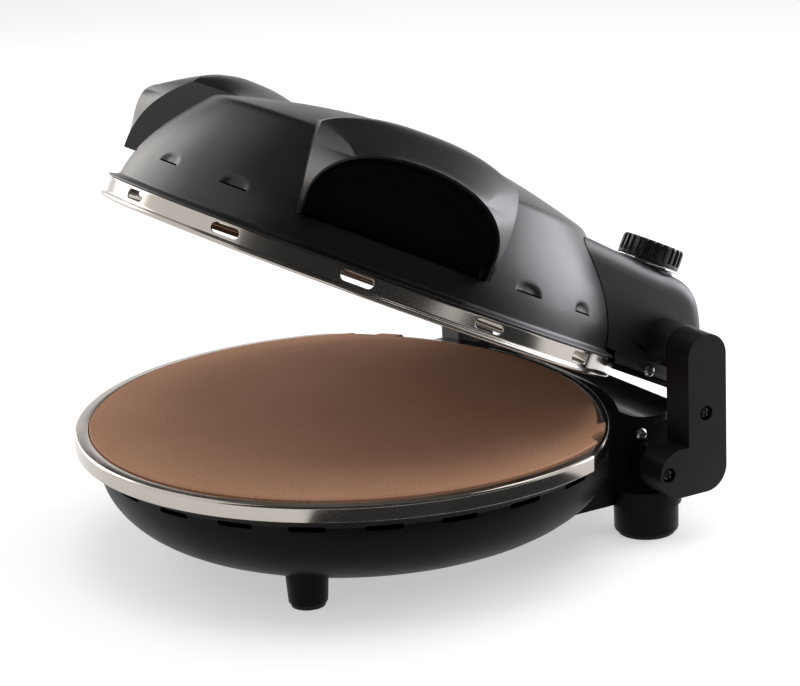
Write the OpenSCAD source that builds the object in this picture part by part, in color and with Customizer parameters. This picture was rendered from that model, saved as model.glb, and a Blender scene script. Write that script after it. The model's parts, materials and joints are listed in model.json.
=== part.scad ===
// Electric pizza maker: a round base with a baking stone under a domed lid,
// joined by two hinge arms at the back. The lid is drawn part-way open.

/* [Stone] */
// Diameter of the baking stone
stone_d = 330; // [310:5:345]
// Thickness of the baking stone
stone_t = 9; // [8:0.25:10]
// Height that the stone stands above the steel rim
stone_proud = 1.4; // [0.5:0.1:2]
// Radius of the finger notches in the stone
notch_r = 11; // [8:0.5:13]
// Direction of each finger notch, in degrees from the front
notch_az = 122.3; // [118:0.1:124]

/* [Rim] */
// Height of the steel rim above the table
rim_h = 80; // [76:1:92]
// Width of the rim's flat flange outside the stone
rim_flange = 9; // [7:0.5:12]
// Thickness of the pressed steel sheet
sheet = 0.8; // [0.5:0.1:1]
// How far the back of the rim is trimmed in from the stone's radius
rear_trim = 21; // [18:0.5:24]
// Radius of the shallow arc that trims the back
rear_arc_r = 204; // [200:1:210]

/* [Bowl] */
// Height of the bowl's underside above the table
bowl_floor = 15; // [12:1:20]
// Wall of the moulded base and deck
bowl_wall = 2.5; // [2:0.1:3]
// Radius of the bowl's flat underside
bowl_flat_r = 104; // [95:1:112]
// Step in from the rim to the bowl's side
bowl_step = 8; // [6:0.5:10]
// Length of a vent slot in the bowl
vent_l = 22; // [16:1:26]
// Height of a vent slot in the bowl
vent_h = 3.4; // [2.5:0.1:4.5]
// Angle between vent slots
vent_pitch = 15.5; // [14:0.5:18]

/* [Rear block] */
// Width of the rear block that carries the hinge
block_w = 204; // [190:1:212]
// Depth of the rear block behind the rim
block_back = 26; // [23:1:30]
// Height of the rear block's underside above the table
block_floor = 20; // [17:1:24]
// Height of the deck from its seam with the base to the rim
deck_h = 13; // [11:1:16]
// Radius of the trough in the deck
trough_r = 47; // [44:1:50]
// Width of the ledge between rim and trough
ledge_w = 6.7; // [5:0.1:8]

/* [Feet] */
// Radius of the front feet at the top
front_foot_r = 13; // [11:0.5:15]
// Distance of the front feet from the middle, both sideways and forwards
front_foot_at = 85.8; // [80:0.2:90]
// Radius of the rear feet
rear_foot_r = 19.4; // [17:0.2:21]
// Distance of each rear foot from the middle plane
rear_foot_x = 105.5; // [102:0.5:108]
// Thickness of the rubber pads
pad_t = 2; // [1.5:0.5:3]

/* [Hinge arms] */
// Thickness of a hinge arm
arm_t = 22; // [20:0.5:26]
// Depth of a hinge arm, front to back
arm_d = 28; // [26:0.5:30]
// Gap between rear block and arm
arm_gap = 18; // [16:0.5:22]
// Distance of the hinge axis behind the back of the rim
pivot_back = 17.2; // [15:0.2:20]
// Height of the hinge axis above the rim
pivot_up = 36.4; // [35:0.2:40]
// Radius of the hinge pins
pin_r = 4; // [3:0.1:5]
// Running clearance round a hinge pin
pin_fit = 0.05; // [0.02:0.01:0.08]
// Thickness of the friction washers in the hinge
washer_t = 1; // [0.8:0.1:1.5]
// Thickness of the arm's cover plate
cover_t = 5; // [4:0.5:7]
// Height of the arm's lower end above the table
arm_low = 31.5; // [29:0.5:34]
// Reach of the arm's foot in front of the arm
arm_toe = 21.2; // [18:0.2:24]
// Height of the arm's foot
toe_h = 30.5; // [28:0.5:33]

/* [Lid] */
// Angle that the lid is drawn open
rest_open = 26.3; // [0:0.1:60]
// Gap between lid and rim when the lid is shut
lid_gap = 3.1; // [2.6:0.1:5]
// Radius of the lid ring's rolled lip
lip_r = 163.3; // [158:0.1:166]
// Height of the lid's steel band
band_h = 13.4; // [12:0.2:16]
// Depth of the rolled lip
lip_h = 3.2; // [2.5:0.1:4]
// Step in from the lip to the band
lip_step = 2.8; // [2:0.1:3.5]
// Height of the dome above the lip
dome_h = 100; // [96:0.5:103]
// Wall of the dome and its housing
dome_wall = 2.5; // [2:0.1:3]
// Length of a slot in the lid band
slot_l = 19; // [15:0.5:22]
// Height of a slot in the lid band
slot_h = 6; // [5:0.2:7]
// Angle between slots in the lid band
slot_pitch = 29; // [27:0.5:32]
// Height of the reflector's crown above the lip
reflector_h = 44; // [40:1:46]

/* [Grip hoods] */
// Direction of each hood, in degrees from the front
hood_az = 63.5; // [58:0.5:68]
// Radius of the hoods' front face
hood_r = 166; // [164:0.5:170]
// Half width of a hood's mouth
mouth_a = 56; // [50:1:60]
// Height of the mouth's lower edge above the lip
mouth_low = 31.5; // [30:0.5:34]
// Height of the mouth's top above the lip
mouth_top = 77; // [72:0.5:80]
// Wall of a hood round its mouth
hood_wall = 2.6; // [2.2:0.1:3.2]
// Height of a hood's crest above the lip
crest_w = 98.6; // [95:0.1:101]
// Distance of the crest from the lid's axis
crest_u = 118; // [112:1:124]
// Depth of the finger pocket
pocket_d = 28; // [24:1:32]

/* [Lid housing] */
// Width of the housing behind the dome
housing_w = 200; // [186:1:206]
// Height of the housing's underside above the shut rim
housing_low = 10; // [8:0.5:13]
// Height of the housing above the hinge axis
housing_up = 39; // [37:0.2:43]
// Reach of the housing behind the hinge axis
housing_back = 34.8; // [32:0.2:38]
// Thickness of the housing's bottom cover
cover_plate = 3; // [2.5:0.1:4]
// Radius of the round bosses at the hinge
boss_r = 14.4; // [13:0.1:16]

/* [Knob] */
// Distance of the knob from the middle plane
knob_x = 75; // [60:1:78]
// Radius of the knob
knob_r = 19.5; // [17:0.5:22]
// Height of the knob
knob_h = 13; // [11:0.5:16]
// Number of grip flutes in the knob
knob_flutes = 24; // [16:2:32]
// Radius of the thermostat spindle
spindle_r = 3; // [2.5:0.1:3.5]

/* [Heating] */
// Radius of a heating tube
tube_r = 3.25; // [2.8:0.05:4]
// Radius of the lower heating ring
lower_ring_r = 92; // [80:1:105]
// Radius of the upper heating ring
upper_ring_r = 98; // [85:1:110]

/* [Hidden] */
fine = 160;
mid = 64;
small = 32;
seat = 0.3;
bite = 1;
long = 400;

stone_r = stone_d / 2;
rim_r = stone_r + rim_flange;
rim_rear_y = stone_r - rear_trim;
rear_arc_y = rim_rear_y - rear_arc_r;
stone_top_z = rim_h + stone_proud;
stone_low_z = stone_top_z - stone_t;
stone_chamfer = 1;
tab_in = 2.5;
step_in = 7.5;
step_x = 119;
stone_play = 0.6;
well_r = 126;
pan_floor_z = stone_low_z - 21;
shell_in = sheet + seat;
web_top_z = stone_low_z - sheet - seat;
web_t = 1.3;
skirt_low_z = web_top_z - web_t;

side_top_r = rim_r - bowl_step;
side_waist_r = side_top_r - 5;
side_waist_z = skirt_low_z - 8;
side_steps = 14;
vent_z = skirt_low_z - 8.5;
vent_from = -7;
vent_to = 7;
vent_first = 3.5;

block_x = block_w / 2;
block_y = rim_rear_y + block_back;
block_round = 10;
trough_y = rim_rear_y + 7;
trough_z = rim_h + 38.5;
deck_seam = rim_h - deck_h;
deck_top_z = rim_h - 0.5;
deck_screw_y = block_y - 29.4;
deck_screw_z = deck_seam - 5.3;
deck_tab = 12;
leg_r = rear_foot_r + 2.4;
leg_y = rim_rear_y - 3;
leg_top_z = arm_low - seat;
gland_x = -60;
gland_z = block_floor + 16;
gland_r = 6;
terminal_x = 12;
lower_tube_z = pan_floor_z + 9;
tube_tail = 20;
strap_l = 10;
strap_w = 8;

arm_x = block_x + arm_gap;
pivot_y = rim_rear_y + pivot_back;
pivot_z = rim_h + pivot_up;
arm_r = arm_d / 2;
arm_y0 = pivot_y - arm_r;
arm_y1 = pivot_y + arm_r;
toe_r = toe_h / 2;
toe_y = arm_y0 - arm_toe + toe_r;
toe_z = arm_low + toe_r;
heel_r = 15;
boss_in = 12;
foot_boss_r = toe_r - 4.9;
tab_low_z = toe_z + foot_boss_r + seat;
frame_t = arm_t - cover_t;
screw_low = [toe_y - 9, toe_z + 1];
screw_high = [pivot_y - 1, pivot_z - 35];
head_r = 4;
head_h = 2.4;
shank_r = 1.8;
play = 0.1;

lip_z = rim_h + lid_gap;
band_r = lip_r - lip_step;
seat_r = band_r - 8;
flare_r = band_r + 1.8;
side_w = band_h + 2.1;
side_r = band_r - 4.5;
shoulder_r = 119;
shoulder_w = dome_h - 20;
curve_steps = 9;
reflector_r = seat_r - 0.4;
reflector_w = band_h - 2 * sheet;
upper_tube_w = 20;

hood_steps = 11;
front_n = 2.4;
crest_n = 2.6;
crest_in = 10;
back_u = 84;
back_n = 4;
back_out = 4.5;
back_drop = 7.8;
pocket_u = hood_r - pocket_d;
pocket_wall = 2;
louvre_w = 33;
louvre_r = 3.4;
louvre_l = 13;
slit_h = 1.8;

housing_x = housing_w / 2;
housing_low_z = rim_h + housing_low;
housing_top_z = pivot_z + housing_up;
housing_mid_y = pivot_y - 15.2;
housing_mid_z = pivot_z - 8.4;
housing_a = housing_back + 15.2;
housing_b = housing_top_z - housing_mid_z;
housing_front_y = 60;
housing_rise = 5;
swing_r = 40;
swing_gap = 1;
end_round = 5;
lug_z = pivot_z - 20.3;
lug_y = pivot_y - 3.8;
knob_y = housing_mid_y + 0.5;
collar_r = 14;
collar_up = 1.2;
knob_gap = 0.4;
knob_low_z = housing_top_z + collar_up + knob_gap;
knob_ring_h = 1.8;
knob_top_z = knob_low_z + knob_h;
flute_r = knob_r * 0.08;
spindle_top_z = knob_top_z - 4;
stat_r = 14;
stat_top_z = housing_top_z - dome_wall - 3;
stat_low_z = stat_top_z - 24;
bush_r = 5;

centre_y = (rim_r - rear_reach(rest_open)) / 2;

// Rearmost reach of the lid's housing when the lid is open by an angle
function rear_reach(open) = pivot_y + (housing_mid_y - pivot_y) * cos(open)
  + (housing_mid_z - pivot_z) * sin(open)
  + sqrt(pow(housing_a * cos(open), 2) + pow(housing_b * sin(open), 2));

// Point of a cubic curve with four control points, for t from 0 to 1
function curve(p, t) = pow(1 - t, 3) * p[0] + 3 * t * pow(1 - t, 2) * p[1]
  + 3 * t * t * (1 - t) * p[2] + pow(t, 3) * p[3];
function curve_points(p, n) = [for (i = [0:n]) curve(p, i / n)];

// ---- shared shapes ----

// Everything stands with the middle of its depth at the origin
module stand() {
  translate([0, centre_y, 0]) children();
}

// Turns the lid's pieces from shut to the angle that they are drawn at
module on_lid() {
  stand() translate([0, pivot_y, pivot_z]) rotate([-rest_open, 0, 0])
    translate([0, -pivot_y, -pivot_z]) children();
}

module both_sides() {
  children();
  mirror([1, 0, 0]) children();
}

// Turns what lies along +X to a direction that is counted from the front
module facing(az) {
  rotate([0, 0, az - 90]) children();
}

module rear_disc(inset) {
  translate([0, rear_arc_y]) circle(r = rear_arc_r - inset, $fn = fine);
}

// The round plan with its shallow arc at the back, moved in by a margin
module plan(inset) {
  intersection() {
    circle(r = rim_r - inset, $fn = fine);
    rear_disc(inset);
  }
}

// Outline of the stone, grown by a margin for its seat in the pan
module stone_plan(grow) {
  difference() {
    intersection() {
      circle(r = stone_r + grow, $fn = fine);
      rear_disc(tab_in - grow);
    }
    difference() {
      translate([grow - step_x, 0]) square([2 * (step_x - grow), long]);
      rear_disc(step_in - grow);
    }
  }
}

// A rectangle with round corners, from the front edge y0 to the back edge y1
module round_rect(half_x, y0, y1, r) {
  translate([-half_x, y0 + r]) square([2 * half_x, y1 - y0 - 2 * r]);
  translate([r - half_x, y0]) square([2 * (half_x - r), y1 - y0]);
  for (x = [r - half_x, half_x - r], y = [y0 + r, y1 - r])
    translate([x, y]) circle(r = r, $fn = small);
}

// A round rod along X between two planes
module rod_x(r, x0, x1, y, z, n = mid) {
  translate([x0, y, z]) rotate([0, 90, 0]) cylinder(r = r, h = x1 - x0, $fn = n);
}

// A slot with round ends, cut outwards along X
module slot_x(x0, depth, l, h) {
  for (y = [(h - l) / 2, (l - h) / 2])
    translate([x0, y, 0]) rotate([0, 90, 0]) cylinder(d = h, h = depth, $fn = small);
  translate([x0, (h - l) / 2, -h / 2]) cube([depth, l - h, h]);
}

// A screw along X whose head ends at the plane x
module screw_x(x, y, z, shank) {
  rod_x(head_r, x - head_h, x, y, z, small);
  rod_x(shank_r, x - head_h - shank, x - head_h + bite / 2, y, z, small);
}

// ---- base ----

function bowl_side(inset) = [for (i = [0:side_steps]) let (t = 90 * i / side_steps)
  [bowl_flat_r + (side_waist_r - bowl_flat_r - inset) * sin(t),
   side_waist_z - (side_waist_z - bowl_floor - inset) * cos(t)]];

// The bowl: flat underside, elliptical side, a step out, and a collar inside the rim
module bowl_outer() {
  top_z = rim_h - 2 * sheet;
  intersection() {
    rotate_extrude($fn = fine) polygon(concat([[0, bowl_floor]], bowl_side(0),
      [[side_top_r, skirt_low_z - 0.6], [rim_r, skirt_low_z + 0.2], [rim_r, top_z], [0, top_z]]));
    linear_extrude(long) plan(shell_in);
  }
}

module bowl_inner() {
  intersection() {
    rotate_extrude($fn = fine) polygon(concat([[0, bowl_floor + bowl_wall]], bowl_side(bowl_wall),
      [[side_top_r - bowl_wall, web_top_z - 0.4], [rim_r, web_top_z], [rim_r, rim_h], [0, rim_h]]));
    linear_extrude(long) plan(shell_in + bowl_wall);
  }
}

module block_body(inset, top_z) {
  low_z = block_floor + inset;
  translate([0, 0, low_z]) linear_extrude(top_z - low_z)
    round_rect(block_x - inset, rim_rear_y - 104, block_y - inset, block_round - inset);
}

module leg(inset) {
  translate([rear_foot_x, leg_y, block_floor + inset])
    cylinder(r = leg_r - inset, h = leg_top_z - block_floor - 2 * inset, $fn = mid);
}

module gland_hole(r) {
  translate([gland_x, block_y - 20, gland_z]) rotate([-90, 0, 0]) cylinder(r = r, h = 40, $fn = small);
}

module deck_screw_holes() {
  rod_x(shank_r + play, -block_x - bite, block_x + bite, deck_screw_y, deck_screw_z, small);
}

// Screws that hold the arms pass into the bosses of the base
module boss_holes() {
  rod_x(shank_r + play, -arm_x - bite, arm_x + bite, screw_low[0], screw_low[1], small);
}

module base_shell() {
  color("#232325") stand() difference() {
    union() {
      bowl_outer();
      block_body(0, deck_seam);
      both_sides() leg(0);
      both_sides() rod_x(foot_boss_r, block_x - boss_in, arm_x, toe_y, toe_z);
    }
    difference() {
      union() {
        bowl_inner();
        block_body(bowl_wall, deck_seam + bite);
        both_sides() leg(bowl_wall);
      }
      both_sides() rod_x(foot_boss_r, block_x - boss_in, arm_x, toe_y, toe_z);
    }
    translate([0, 0, web_top_z]) linear_extrude(long) stone_plan(stone_play + sheet + play);
    for (i = [vent_from:vent_to]) translate([0, 0, vent_z])
      facing(vent_first + i * vent_pitch) slot_x(side_waist_r - 10, 30, vent_l, vent_h);
    gland_hole(gland_r);
    deck_screw_holes();
    boss_holes();
  }
}

module base_steel_ring() {
  color("#cfcecb") stand() difference() {
    translate([0, 0, skirt_low_z]) linear_extrude(rim_h - skirt_low_z) plan(0);
    translate([0, 0, skirt_low_z - bite])
      linear_extrude(rim_h - skirt_low_z - sheet + bite) plan(sheet);
    translate([0, 0, skirt_low_z]) linear_extrude(long) stone_plan(stone_play);
  }
}

// Pressed steel pan: a flange under the rim, a ledge for the stone, and a well for the heater
module stone_pan() {
  flange_z = rim_h - 2 * sheet;
  color("#b9b8b5") stand() difference() {
    union() {
      translate([0, 0, flange_z]) linear_extrude(sheet) plan(shell_in);
      translate([0, 0, stone_low_z - sheet]) linear_extrude(flange_z - stone_low_z + 2 * sheet)
        stone_plan(stone_play + sheet);
      translate([0, 0, pan_floor_z - sheet])
        cylinder(r = well_r + sheet, h = stone_low_z - pan_floor_z, $fn = fine);
    }
    translate([0, 0, stone_low_z]) linear_extrude(long) stone_plan(stone_play);
    translate([0, 0, pan_floor_z]) cylinder(r = well_r, h = long, $fn = fine);
    for (x = [-terminal_x, terminal_x])
      translate([x, tube_end_y(lower_ring_r), pan_floor_z - 5])
        cylinder(r = tube_r + 1.5, h = 10, $fn = small);
  }
}

// The stone: a disc with a stepped back edge, chamfered on top, and two finger notches
module baking_stone() {
  color("#b98f78") stand() translate([0, 0, stone_low_z]) difference() {
    intersection() {
      linear_extrude(stone_t) stone_plan(0);
      rotate_extrude($fn = fine) polygon([[0, 0], [stone_r, 0], [stone_r, stone_t - stone_chamfer],
        [stone_r - stone_chamfer, stone_t], [0, stone_t]]);
    }
    for (side = [-1, 1]) rotate([0, 0, side * notch_az]) translate([0, -stone_r - 3, -bite])
      cylinder(r = notch_r, h = stone_t + 2 * bite, $fn = mid);
  }
}

// Height of the bowl's outer side at a radius
function bowl_z(r) = side_waist_z - (side_waist_z - bowl_floor)
  * sqrt(1 - pow((r - bowl_flat_r) / (side_waist_r - bowl_flat_r), 2));

function tube_end_y(ring_r) = sqrt(ring_r * ring_r - terminal_x * terminal_x);

// A heating tube bent to a ring, whose two ends at the back turn away by a length
module heating_tube(ring_r, tail) {
  open_a = asin(terminal_x / ring_r);
  rotate([0, 0, 90 + open_a]) rotate_extrude(angle = 360 - 2 * open_a, $fn = fine)
    translate([ring_r, 0]) circle(r = tube_r, $fn = small);
  for (x = [-terminal_x, terminal_x]) translate([x, tube_end_y(ring_r), 0]) {
    sphere(r = tube_r + play / 2, $fn = small);
    rotate([tail > 0 ? 0 : 180, 0, 0]) cylinder(r = tube_r, h = abs(tail), $fn = small);
  }
}

module lower_heating_element() {
  color("#6f6a66") stand() translate([0, 0, lower_tube_z]) heating_tube(lower_ring_r, -tube_tail);
}

// Straps between a plate and a heating tube, each with a half-round saddle
module tube_straps(ring_r, z0, z1, tube_z) {
  for (az = [60, 180, 300]) facing(az) difference() {
    translate([ring_r - strap_l / 2, -strap_w / 2, z0]) cube([strap_l, strap_w, z1 - z0]);
    translate([ring_r, -strap_l / 2, tube_z]) rotate([-90, 0, 0])
      cylinder(r = tube_r + play, h = strap_l, $fn = small);
  }
}

module lower_element_clips() {
  color("#9a9a98") stand() tube_straps(lower_ring_r, pan_floor_z, lower_tube_z, lower_tube_z);
}

// The deck behind the rim: a ledge, then a trough that the lid's housing swings through
module deck_body(inset, low_z) {
  difference() {
    translate([0, 0, low_z]) linear_extrude(deck_top_z - inset - low_z) difference() {
      round_rect(block_x - inset, rim_rear_y - 104, block_y - inset, block_round - inset);
      rear_disc(-seat - inset);
    }
    difference() {
      rod_x(trough_r + inset, -long / 2, long / 2, trough_y, trough_z, fine);
      linear_extrude(long) rear_disc(-ledge_w - seat + inset);
    }
    rod_x(swing_r + swing_gap + inset, -long / 2, long / 2, pivot_y, pivot_z, fine);
  }
}

module rear_deck() {
  color("#262628") stand() difference() {
    union() {
      difference() {
        deck_body(0, deck_seam);
        deck_body(bowl_wall, deck_seam - bite);
      }
      both_sides() translate([block_x - 2 * bowl_wall - play, deck_screw_y - deck_tab / 2, tab_low_z])
        cube([bowl_wall, deck_tab, deck_seam + bowl_wall - tab_low_z]);
    }
    deck_screw_holes();
  }
}

module deck_screws() {
  color("#c4c4c4") stand() both_sides()
    screw_x(block_x + head_h, deck_screw_y, deck_screw_z, 8);
}

module front_feet() {
  top_z = bowl_z(front_foot_at * sqrt(2) + front_foot_r) + bite;
  color("#1f1f21") stand() both_sides() difference() {
    translate([front_foot_at, -front_foot_at, pad_t])
      cylinder(r1 = front_foot_r - 1.5, r2 = front_foot_r, h = top_z - pad_t, $fn = mid);
    bowl_outer();
  }
}

module rear_feet() {
  color("#1f1f21") stand() both_sides() translate([rear_foot_x, leg_y, pad_t])
    cylinder(r = rear_foot_r, h = block_floor - pad_t, $fn = mid);
}

module foot_pads() {
  color("#3a3a3b") stand() both_sides() {
    translate([front_foot_at, -front_foot_at, 0]) cylinder(r = front_foot_r - 3, h = pad_t, $fn = mid);
    translate([rear_foot_x, leg_y, 0]) cylinder(r = rear_foot_r - 2, h = pad_t, $fn = mid);
  }
}

// Terminal block on the floor of the rear block
module terminal_block() {
  color("#e2ddd0") stand() translate([0, 0, block_floor + bowl_wall]) difference() {
    translate([-25, rim_rear_y, 0]) cube([50, 16, 13]);
    for (x = [-18, -6, 6, 18]) translate([x, rim_rear_y + 8, 7]) cylinder(r = 2, h = 10, $fn = small);
  }
}

// Bush in the back wall where the supply lead would pass
module cord_gland() {
  color("#1b1b1c") stand() translate([gland_x, block_y, gland_z]) rotate([-90, 0, 0]) difference() {
    union() {
      cylinder(r = gland_r + 2.5, h = 3, $fn = mid);
      translate([0, 0, -bowl_wall - 2]) cylinder(r = gland_r - play, h = 7, $fn = mid);
    }
    translate([0, 0, -long / 2]) cylinder(r = gland_r - 2.5, h = long, $fn = small);
  }
}

// ---- hinge ----

// Outline of an arm seen from the side: upright bar, round top, toe that reaches forwards
module arm_plan() {
  translate([pivot_y, pivot_z]) circle(r = arm_r, $fn = mid);
  translate([arm_y0, toe_z]) square([arm_d, pivot_z - toe_z]);
  translate([toe_y, toe_z]) circle(r = toe_r, $fn = mid);
  translate([toe_y, arm_low]) square([arm_y1 - heel_r - toe_y, toe_h]);
  translate([arm_y1 - heel_r, arm_low + heel_r]) circle(r = heel_r, $fn = mid);
}

// A slice of the right-hand arm between two planes across X
module arm_slice(x0, x1) {
  translate([x0, 0, 0]) rotate([90, 0, 90]) linear_extrude(x1 - x0) arm_plan();
}

// The arm's frame bears the hinge pin and is screwed to the base through its toe
module arm_frame() {
  color("#242426") stand() difference() {
    arm_slice(arm_x, arm_x + frame_t);
    rod_x(pin_r + play / 2, arm_x - bite, arm_x + arm_t, pivot_y, pivot_z);
    for (p = [screw_low, screw_high])
      rod_x(shank_r + play, arm_x - bite, arm_x + arm_t, p[0], p[1], small);
  }
}

module arm_cover() {
  x1 = arm_x + arm_t;
  color("#29292b") stand() difference() {
    arm_slice(arm_x + frame_t, x1);
    for (p = [screw_low, screw_high]) {
      rod_x(shank_r + play, arm_x, x1 + bite, p[0], p[1], small);
      rod_x(head_r + 0.6, x1 - head_h - 0.4, x1 + bite, p[0], p[1], small);
    }
  }
}

module right_arm_frame() {
  arm_frame();
}

module right_arm_cover() {
  arm_cover();
}

module left_arm_frame() {
  mirror([1, 0, 0]) arm_frame();
}

module left_arm_cover() {
  mirror([1, 0, 0]) arm_cover();
}

module arm_screws() {
  x = arm_x + arm_t - 0.4;
  color("#4a4a4c") stand() both_sides() {
    screw_x(x, screw_low[0], screw_low[1], arm_t + boss_in - 6);
    screw_x(x, screw_high[0], screw_high[1], frame_t - 2);
  }
}

module hinge_pins() {
  color("#a9a9a8") stand() both_sides()
    rod_x(pin_r, housing_x + 3, arm_x + frame_t, pivot_y, pivot_z);
}

module hinge_washers() {
  color("#8d8b86") stand() both_sides() difference() {
    rod_x(boss_r - 2, arm_x - washer_t, arm_x, pivot_y, pivot_z);
    rod_x(pin_r + play / 2, arm_x - 2 * washer_t, arm_x + bite, pivot_y, pivot_z);
  }
}

// ---- lid: what follows is placed as if the lid were shut, then turned open ----

module lid_band() {
  low = lip_h - sheet;
  rotate_extrude($fn = fine) polygon([[lip_r, 0], [lip_r, lip_h], [band_r, lip_h], [band_r, band_h],
    [seat_r, band_h], [seat_r, band_h - sheet], [band_r - sheet, band_h - sheet],
    [band_r - sheet, low], [lip_r - sheet, low], [lip_r - sheet, 0]]);
}

module lid_steel_ring() {
  color("#cfcecb") on_lid() translate([0, 0, lip_z]) difference() {
    lid_band();
    for (i = [-4:4]) translate([0, 0, (lip_h + band_h) / 2])
      facing(i * slot_pitch) slot_x(band_r - 5, 10, slot_l, slot_h);
  }
}

// Half section of the dome: flared foot, steep side, a shoulder, and a shallow top
function dome_section(inset) = let (low = band_h - (inset > 0 ? bite : 0)) concat(
  [[0, low], [flare_r - inset, low], [flare_r - inset, band_h + 0.6],
   [side_r + 0.6 - inset, side_w - 0.4]],
  curve_points([[side_r - inset, side_w], [side_r - 3 - inset, 40],
    [shoulder_r + 18 - inset, shoulder_w - 20], [shoulder_r - inset, shoulder_w - inset / 2]], curve_steps),
  curve_points([[shoulder_r - 2 - inset, shoulder_w + 0.6 - inset / 2],
    [80 - inset, shoulder_w + 11.5 - inset], [40, dome_h - inset], [0, dome_h - inset]], curve_steps));

module dome_solid(inset) {
  rotate_extrude($fn = fine) polygon(dome_section(inset));
}

// Arch of a hood across its axis: straight foot, then a superellipse with exponent n
function arch(a, top, n, low) = let (h = (top - mouth_low) * 0.58)
  concat([[-a, low]],
    [for (i = [0:hood_steps]) let (t = 180 - 180 * i / hood_steps)
      [a * sign(cos(t)) * pow(abs(cos(t)), 2 / n), top - h + h * pow(sin(t), 2 / n)]],
    [[a, low]]);

// A thin slice of an arch at a distance along the hood's axis
module arch_slice(u, points) {
  translate([u, 0, 0]) rotate([90, 0, 90]) linear_extrude(0.1) polygon(points);
}

// A hood swells from its mouth to the crest, then runs down into the top of the dome
module hood_body(inset) {
  low = mouth_low - (inset > 0 ? play : 0);
  mouth = arch(mouth_a + hood_wall - inset, mouth_top + hood_wall - inset, front_n, low);
  crest = arch(mouth_a - crest_in - inset, crest_w - inset, crest_n, low);
  back = arch(mouth_a + back_out - inset, crest_w - back_drop - inset, back_n, low);
  intersection() {
    hull() {
      arch_slice(hood_r + 2 * inset + bite, mouth);
      arch_slice(crest_u, crest);
      arch_slice(back_u, back);
    }
    cylinder(r = hood_r + 2 * inset, h = long, $fn = fine);
  }
}

module both_hoods(inset) {
  both_sides() facing(hood_az) hood_body(inset);
}

module mouth_prism(inset, u0) {
  translate([u0, 0, 0]) rotate([90, 0, 90]) linear_extrude(long)
    offset(delta = -inset) polygon(arch(mouth_a, mouth_top, front_n, mouth_low));
}

// A louvre is a half-round bulge on the dome with a slit under it
module louvre_bulge() {
  x = side_radius(louvre_w) - 0.6;
  for (y = [-louvre_l / 2, louvre_l / 2]) translate([x, y, louvre_w]) sphere(r = louvre_r, $fn = small);
  translate([x, -louvre_l / 2, louvre_w]) rotate([-90, 0, 0]) cylinder(r = louvre_r, h = louvre_l, $fn = small);
}

// Radius of the dome's side at a height above the lip
function side_radius(w) = lookup(w, [for (p = dome_section(0))
  if (p[0] > shoulder_r - 1 && p[1] >= side_w) [p[1], p[0]]]);

module louvres() {
  facing(4.5) children();
  both_sides() for (az = [26, 94, 114]) facing(az) children();
}

module lid_dome() {
  color("#2b2b2d") on_lid() translate([0, 0, lip_z]) difference() {
    union() {
      dome_solid(0);
      both_hoods(0);
      louvres() louvre_bulge();
    }
    dome_solid(dome_wall);
    both_hoods(hood_wall);
    louvres() translate([side_radius(louvre_w) - 10, -louvre_l / 2, louvre_w - louvre_r])
      cube([20, louvre_l, slit_h]);
  }
}

// Cup that lines a hood's mouth: open to the front, its floor level with the dome's side
module grip_pocket() {
  color("#151517") on_lid() translate([0, 0, lip_z]) facing(hood_az) difference() {
    intersection() {
      mouth_prism(play, pocket_u - pocket_wall);
      cylinder(r = hood_r - 0.6, h = long, $fn = fine);
    }
    mouth_prism(play + pocket_wall, pocket_u);
    difference() {
      translate([0, -long / 2, 0]) cube([long, long, mouth_low + pocket_wall + bite]);
      dome_solid(0);
    }
  }
}

module right_grip_pocket() {
  grip_pocket();
}

module left_grip_pocket() {
  mirror([1, 0, 0]) grip_pocket();
}

// Half section under the reflector, moved in by a margin
function reflector_cap(inset) = concat([[0, reflector_w - 2 * inset]],
  [for (i = [0:side_steps]) let (t = 90 * i / side_steps)
    [(reflector_r - inset) * cos(t), reflector_w + (reflector_h - reflector_w - inset) * sin(t)]]);

module lid_reflector() {
  color("#b4b3b0") on_lid() translate([0, 0, lip_z]) difference() {
    union() {
      rotate_extrude($fn = fine) polygon(reflector_cap(0));
      translate([0, 0, reflector_w]) cylinder(r = band_r - 2, h = sheet, $fn = fine);
    }
    rotate_extrude($fn = fine) polygon(reflector_cap(sheet));
    translate([0, 0, reflector_w - bite]) cylinder(r = reflector_r - sheet, h = bite + play, $fn = fine);
    for (x = [-terminal_x, terminal_x]) translate([x, tube_end_y(upper_ring_r), upper_tube_w])
      cylinder(r = tube_r + 1.5, h = long, $fn = small);
  }
}

module upper_heating_element() {
  color("#6f6a66") on_lid() translate([0, 0, lip_z + upper_tube_w]) heating_tube(upper_ring_r, 30);
}

module upper_element_clips() {
  color("#9a9a98") on_lid() translate([0, 0, lip_z]) intersection() {
    tube_straps(upper_ring_r, upper_tube_w, reflector_h, upper_tube_w);
    rotate_extrude($fn = fine) polygon(reflector_cap(sheet + play));
  }
}

// Section of the housing behind the dome: a roof that runs into half an ellipse, cut below
// by the circle that clears the deck as the lid swings
module housing_plan(inset, low_z) {
  intersection() {
    union() {
      translate([housing_mid_y, housing_mid_z]) scale([housing_a - inset, housing_b - inset])
        circle(r = 1, $fn = fine);
      polygon([[housing_mid_y, low_z], [housing_mid_y, housing_top_z - inset],
        [housing_front_y, housing_top_z + housing_rise - inset], [housing_front_y, low_z]]);
    }
    translate([0, low_z]) square([long, long]);
    union() {
      translate([pivot_y, pivot_z]) circle(r = swing_r - inset, $fn = fine);
      translate([0, pivot_z - 3]) square([long, long]);
      square([pivot_y, long]);
    }
  }
}

module housing_body(inset, low_z) {
  half = housing_x - inset;
  intersection() {
    translate([-half, 0, 0]) rotate([90, 0, 90]) linear_extrude(2 * half) housing_plan(inset, low_z);
    linear_extrude(long) round_rect(half, housing_front_y, housing_mid_y + housing_a - inset, end_round);
  }
}

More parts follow.
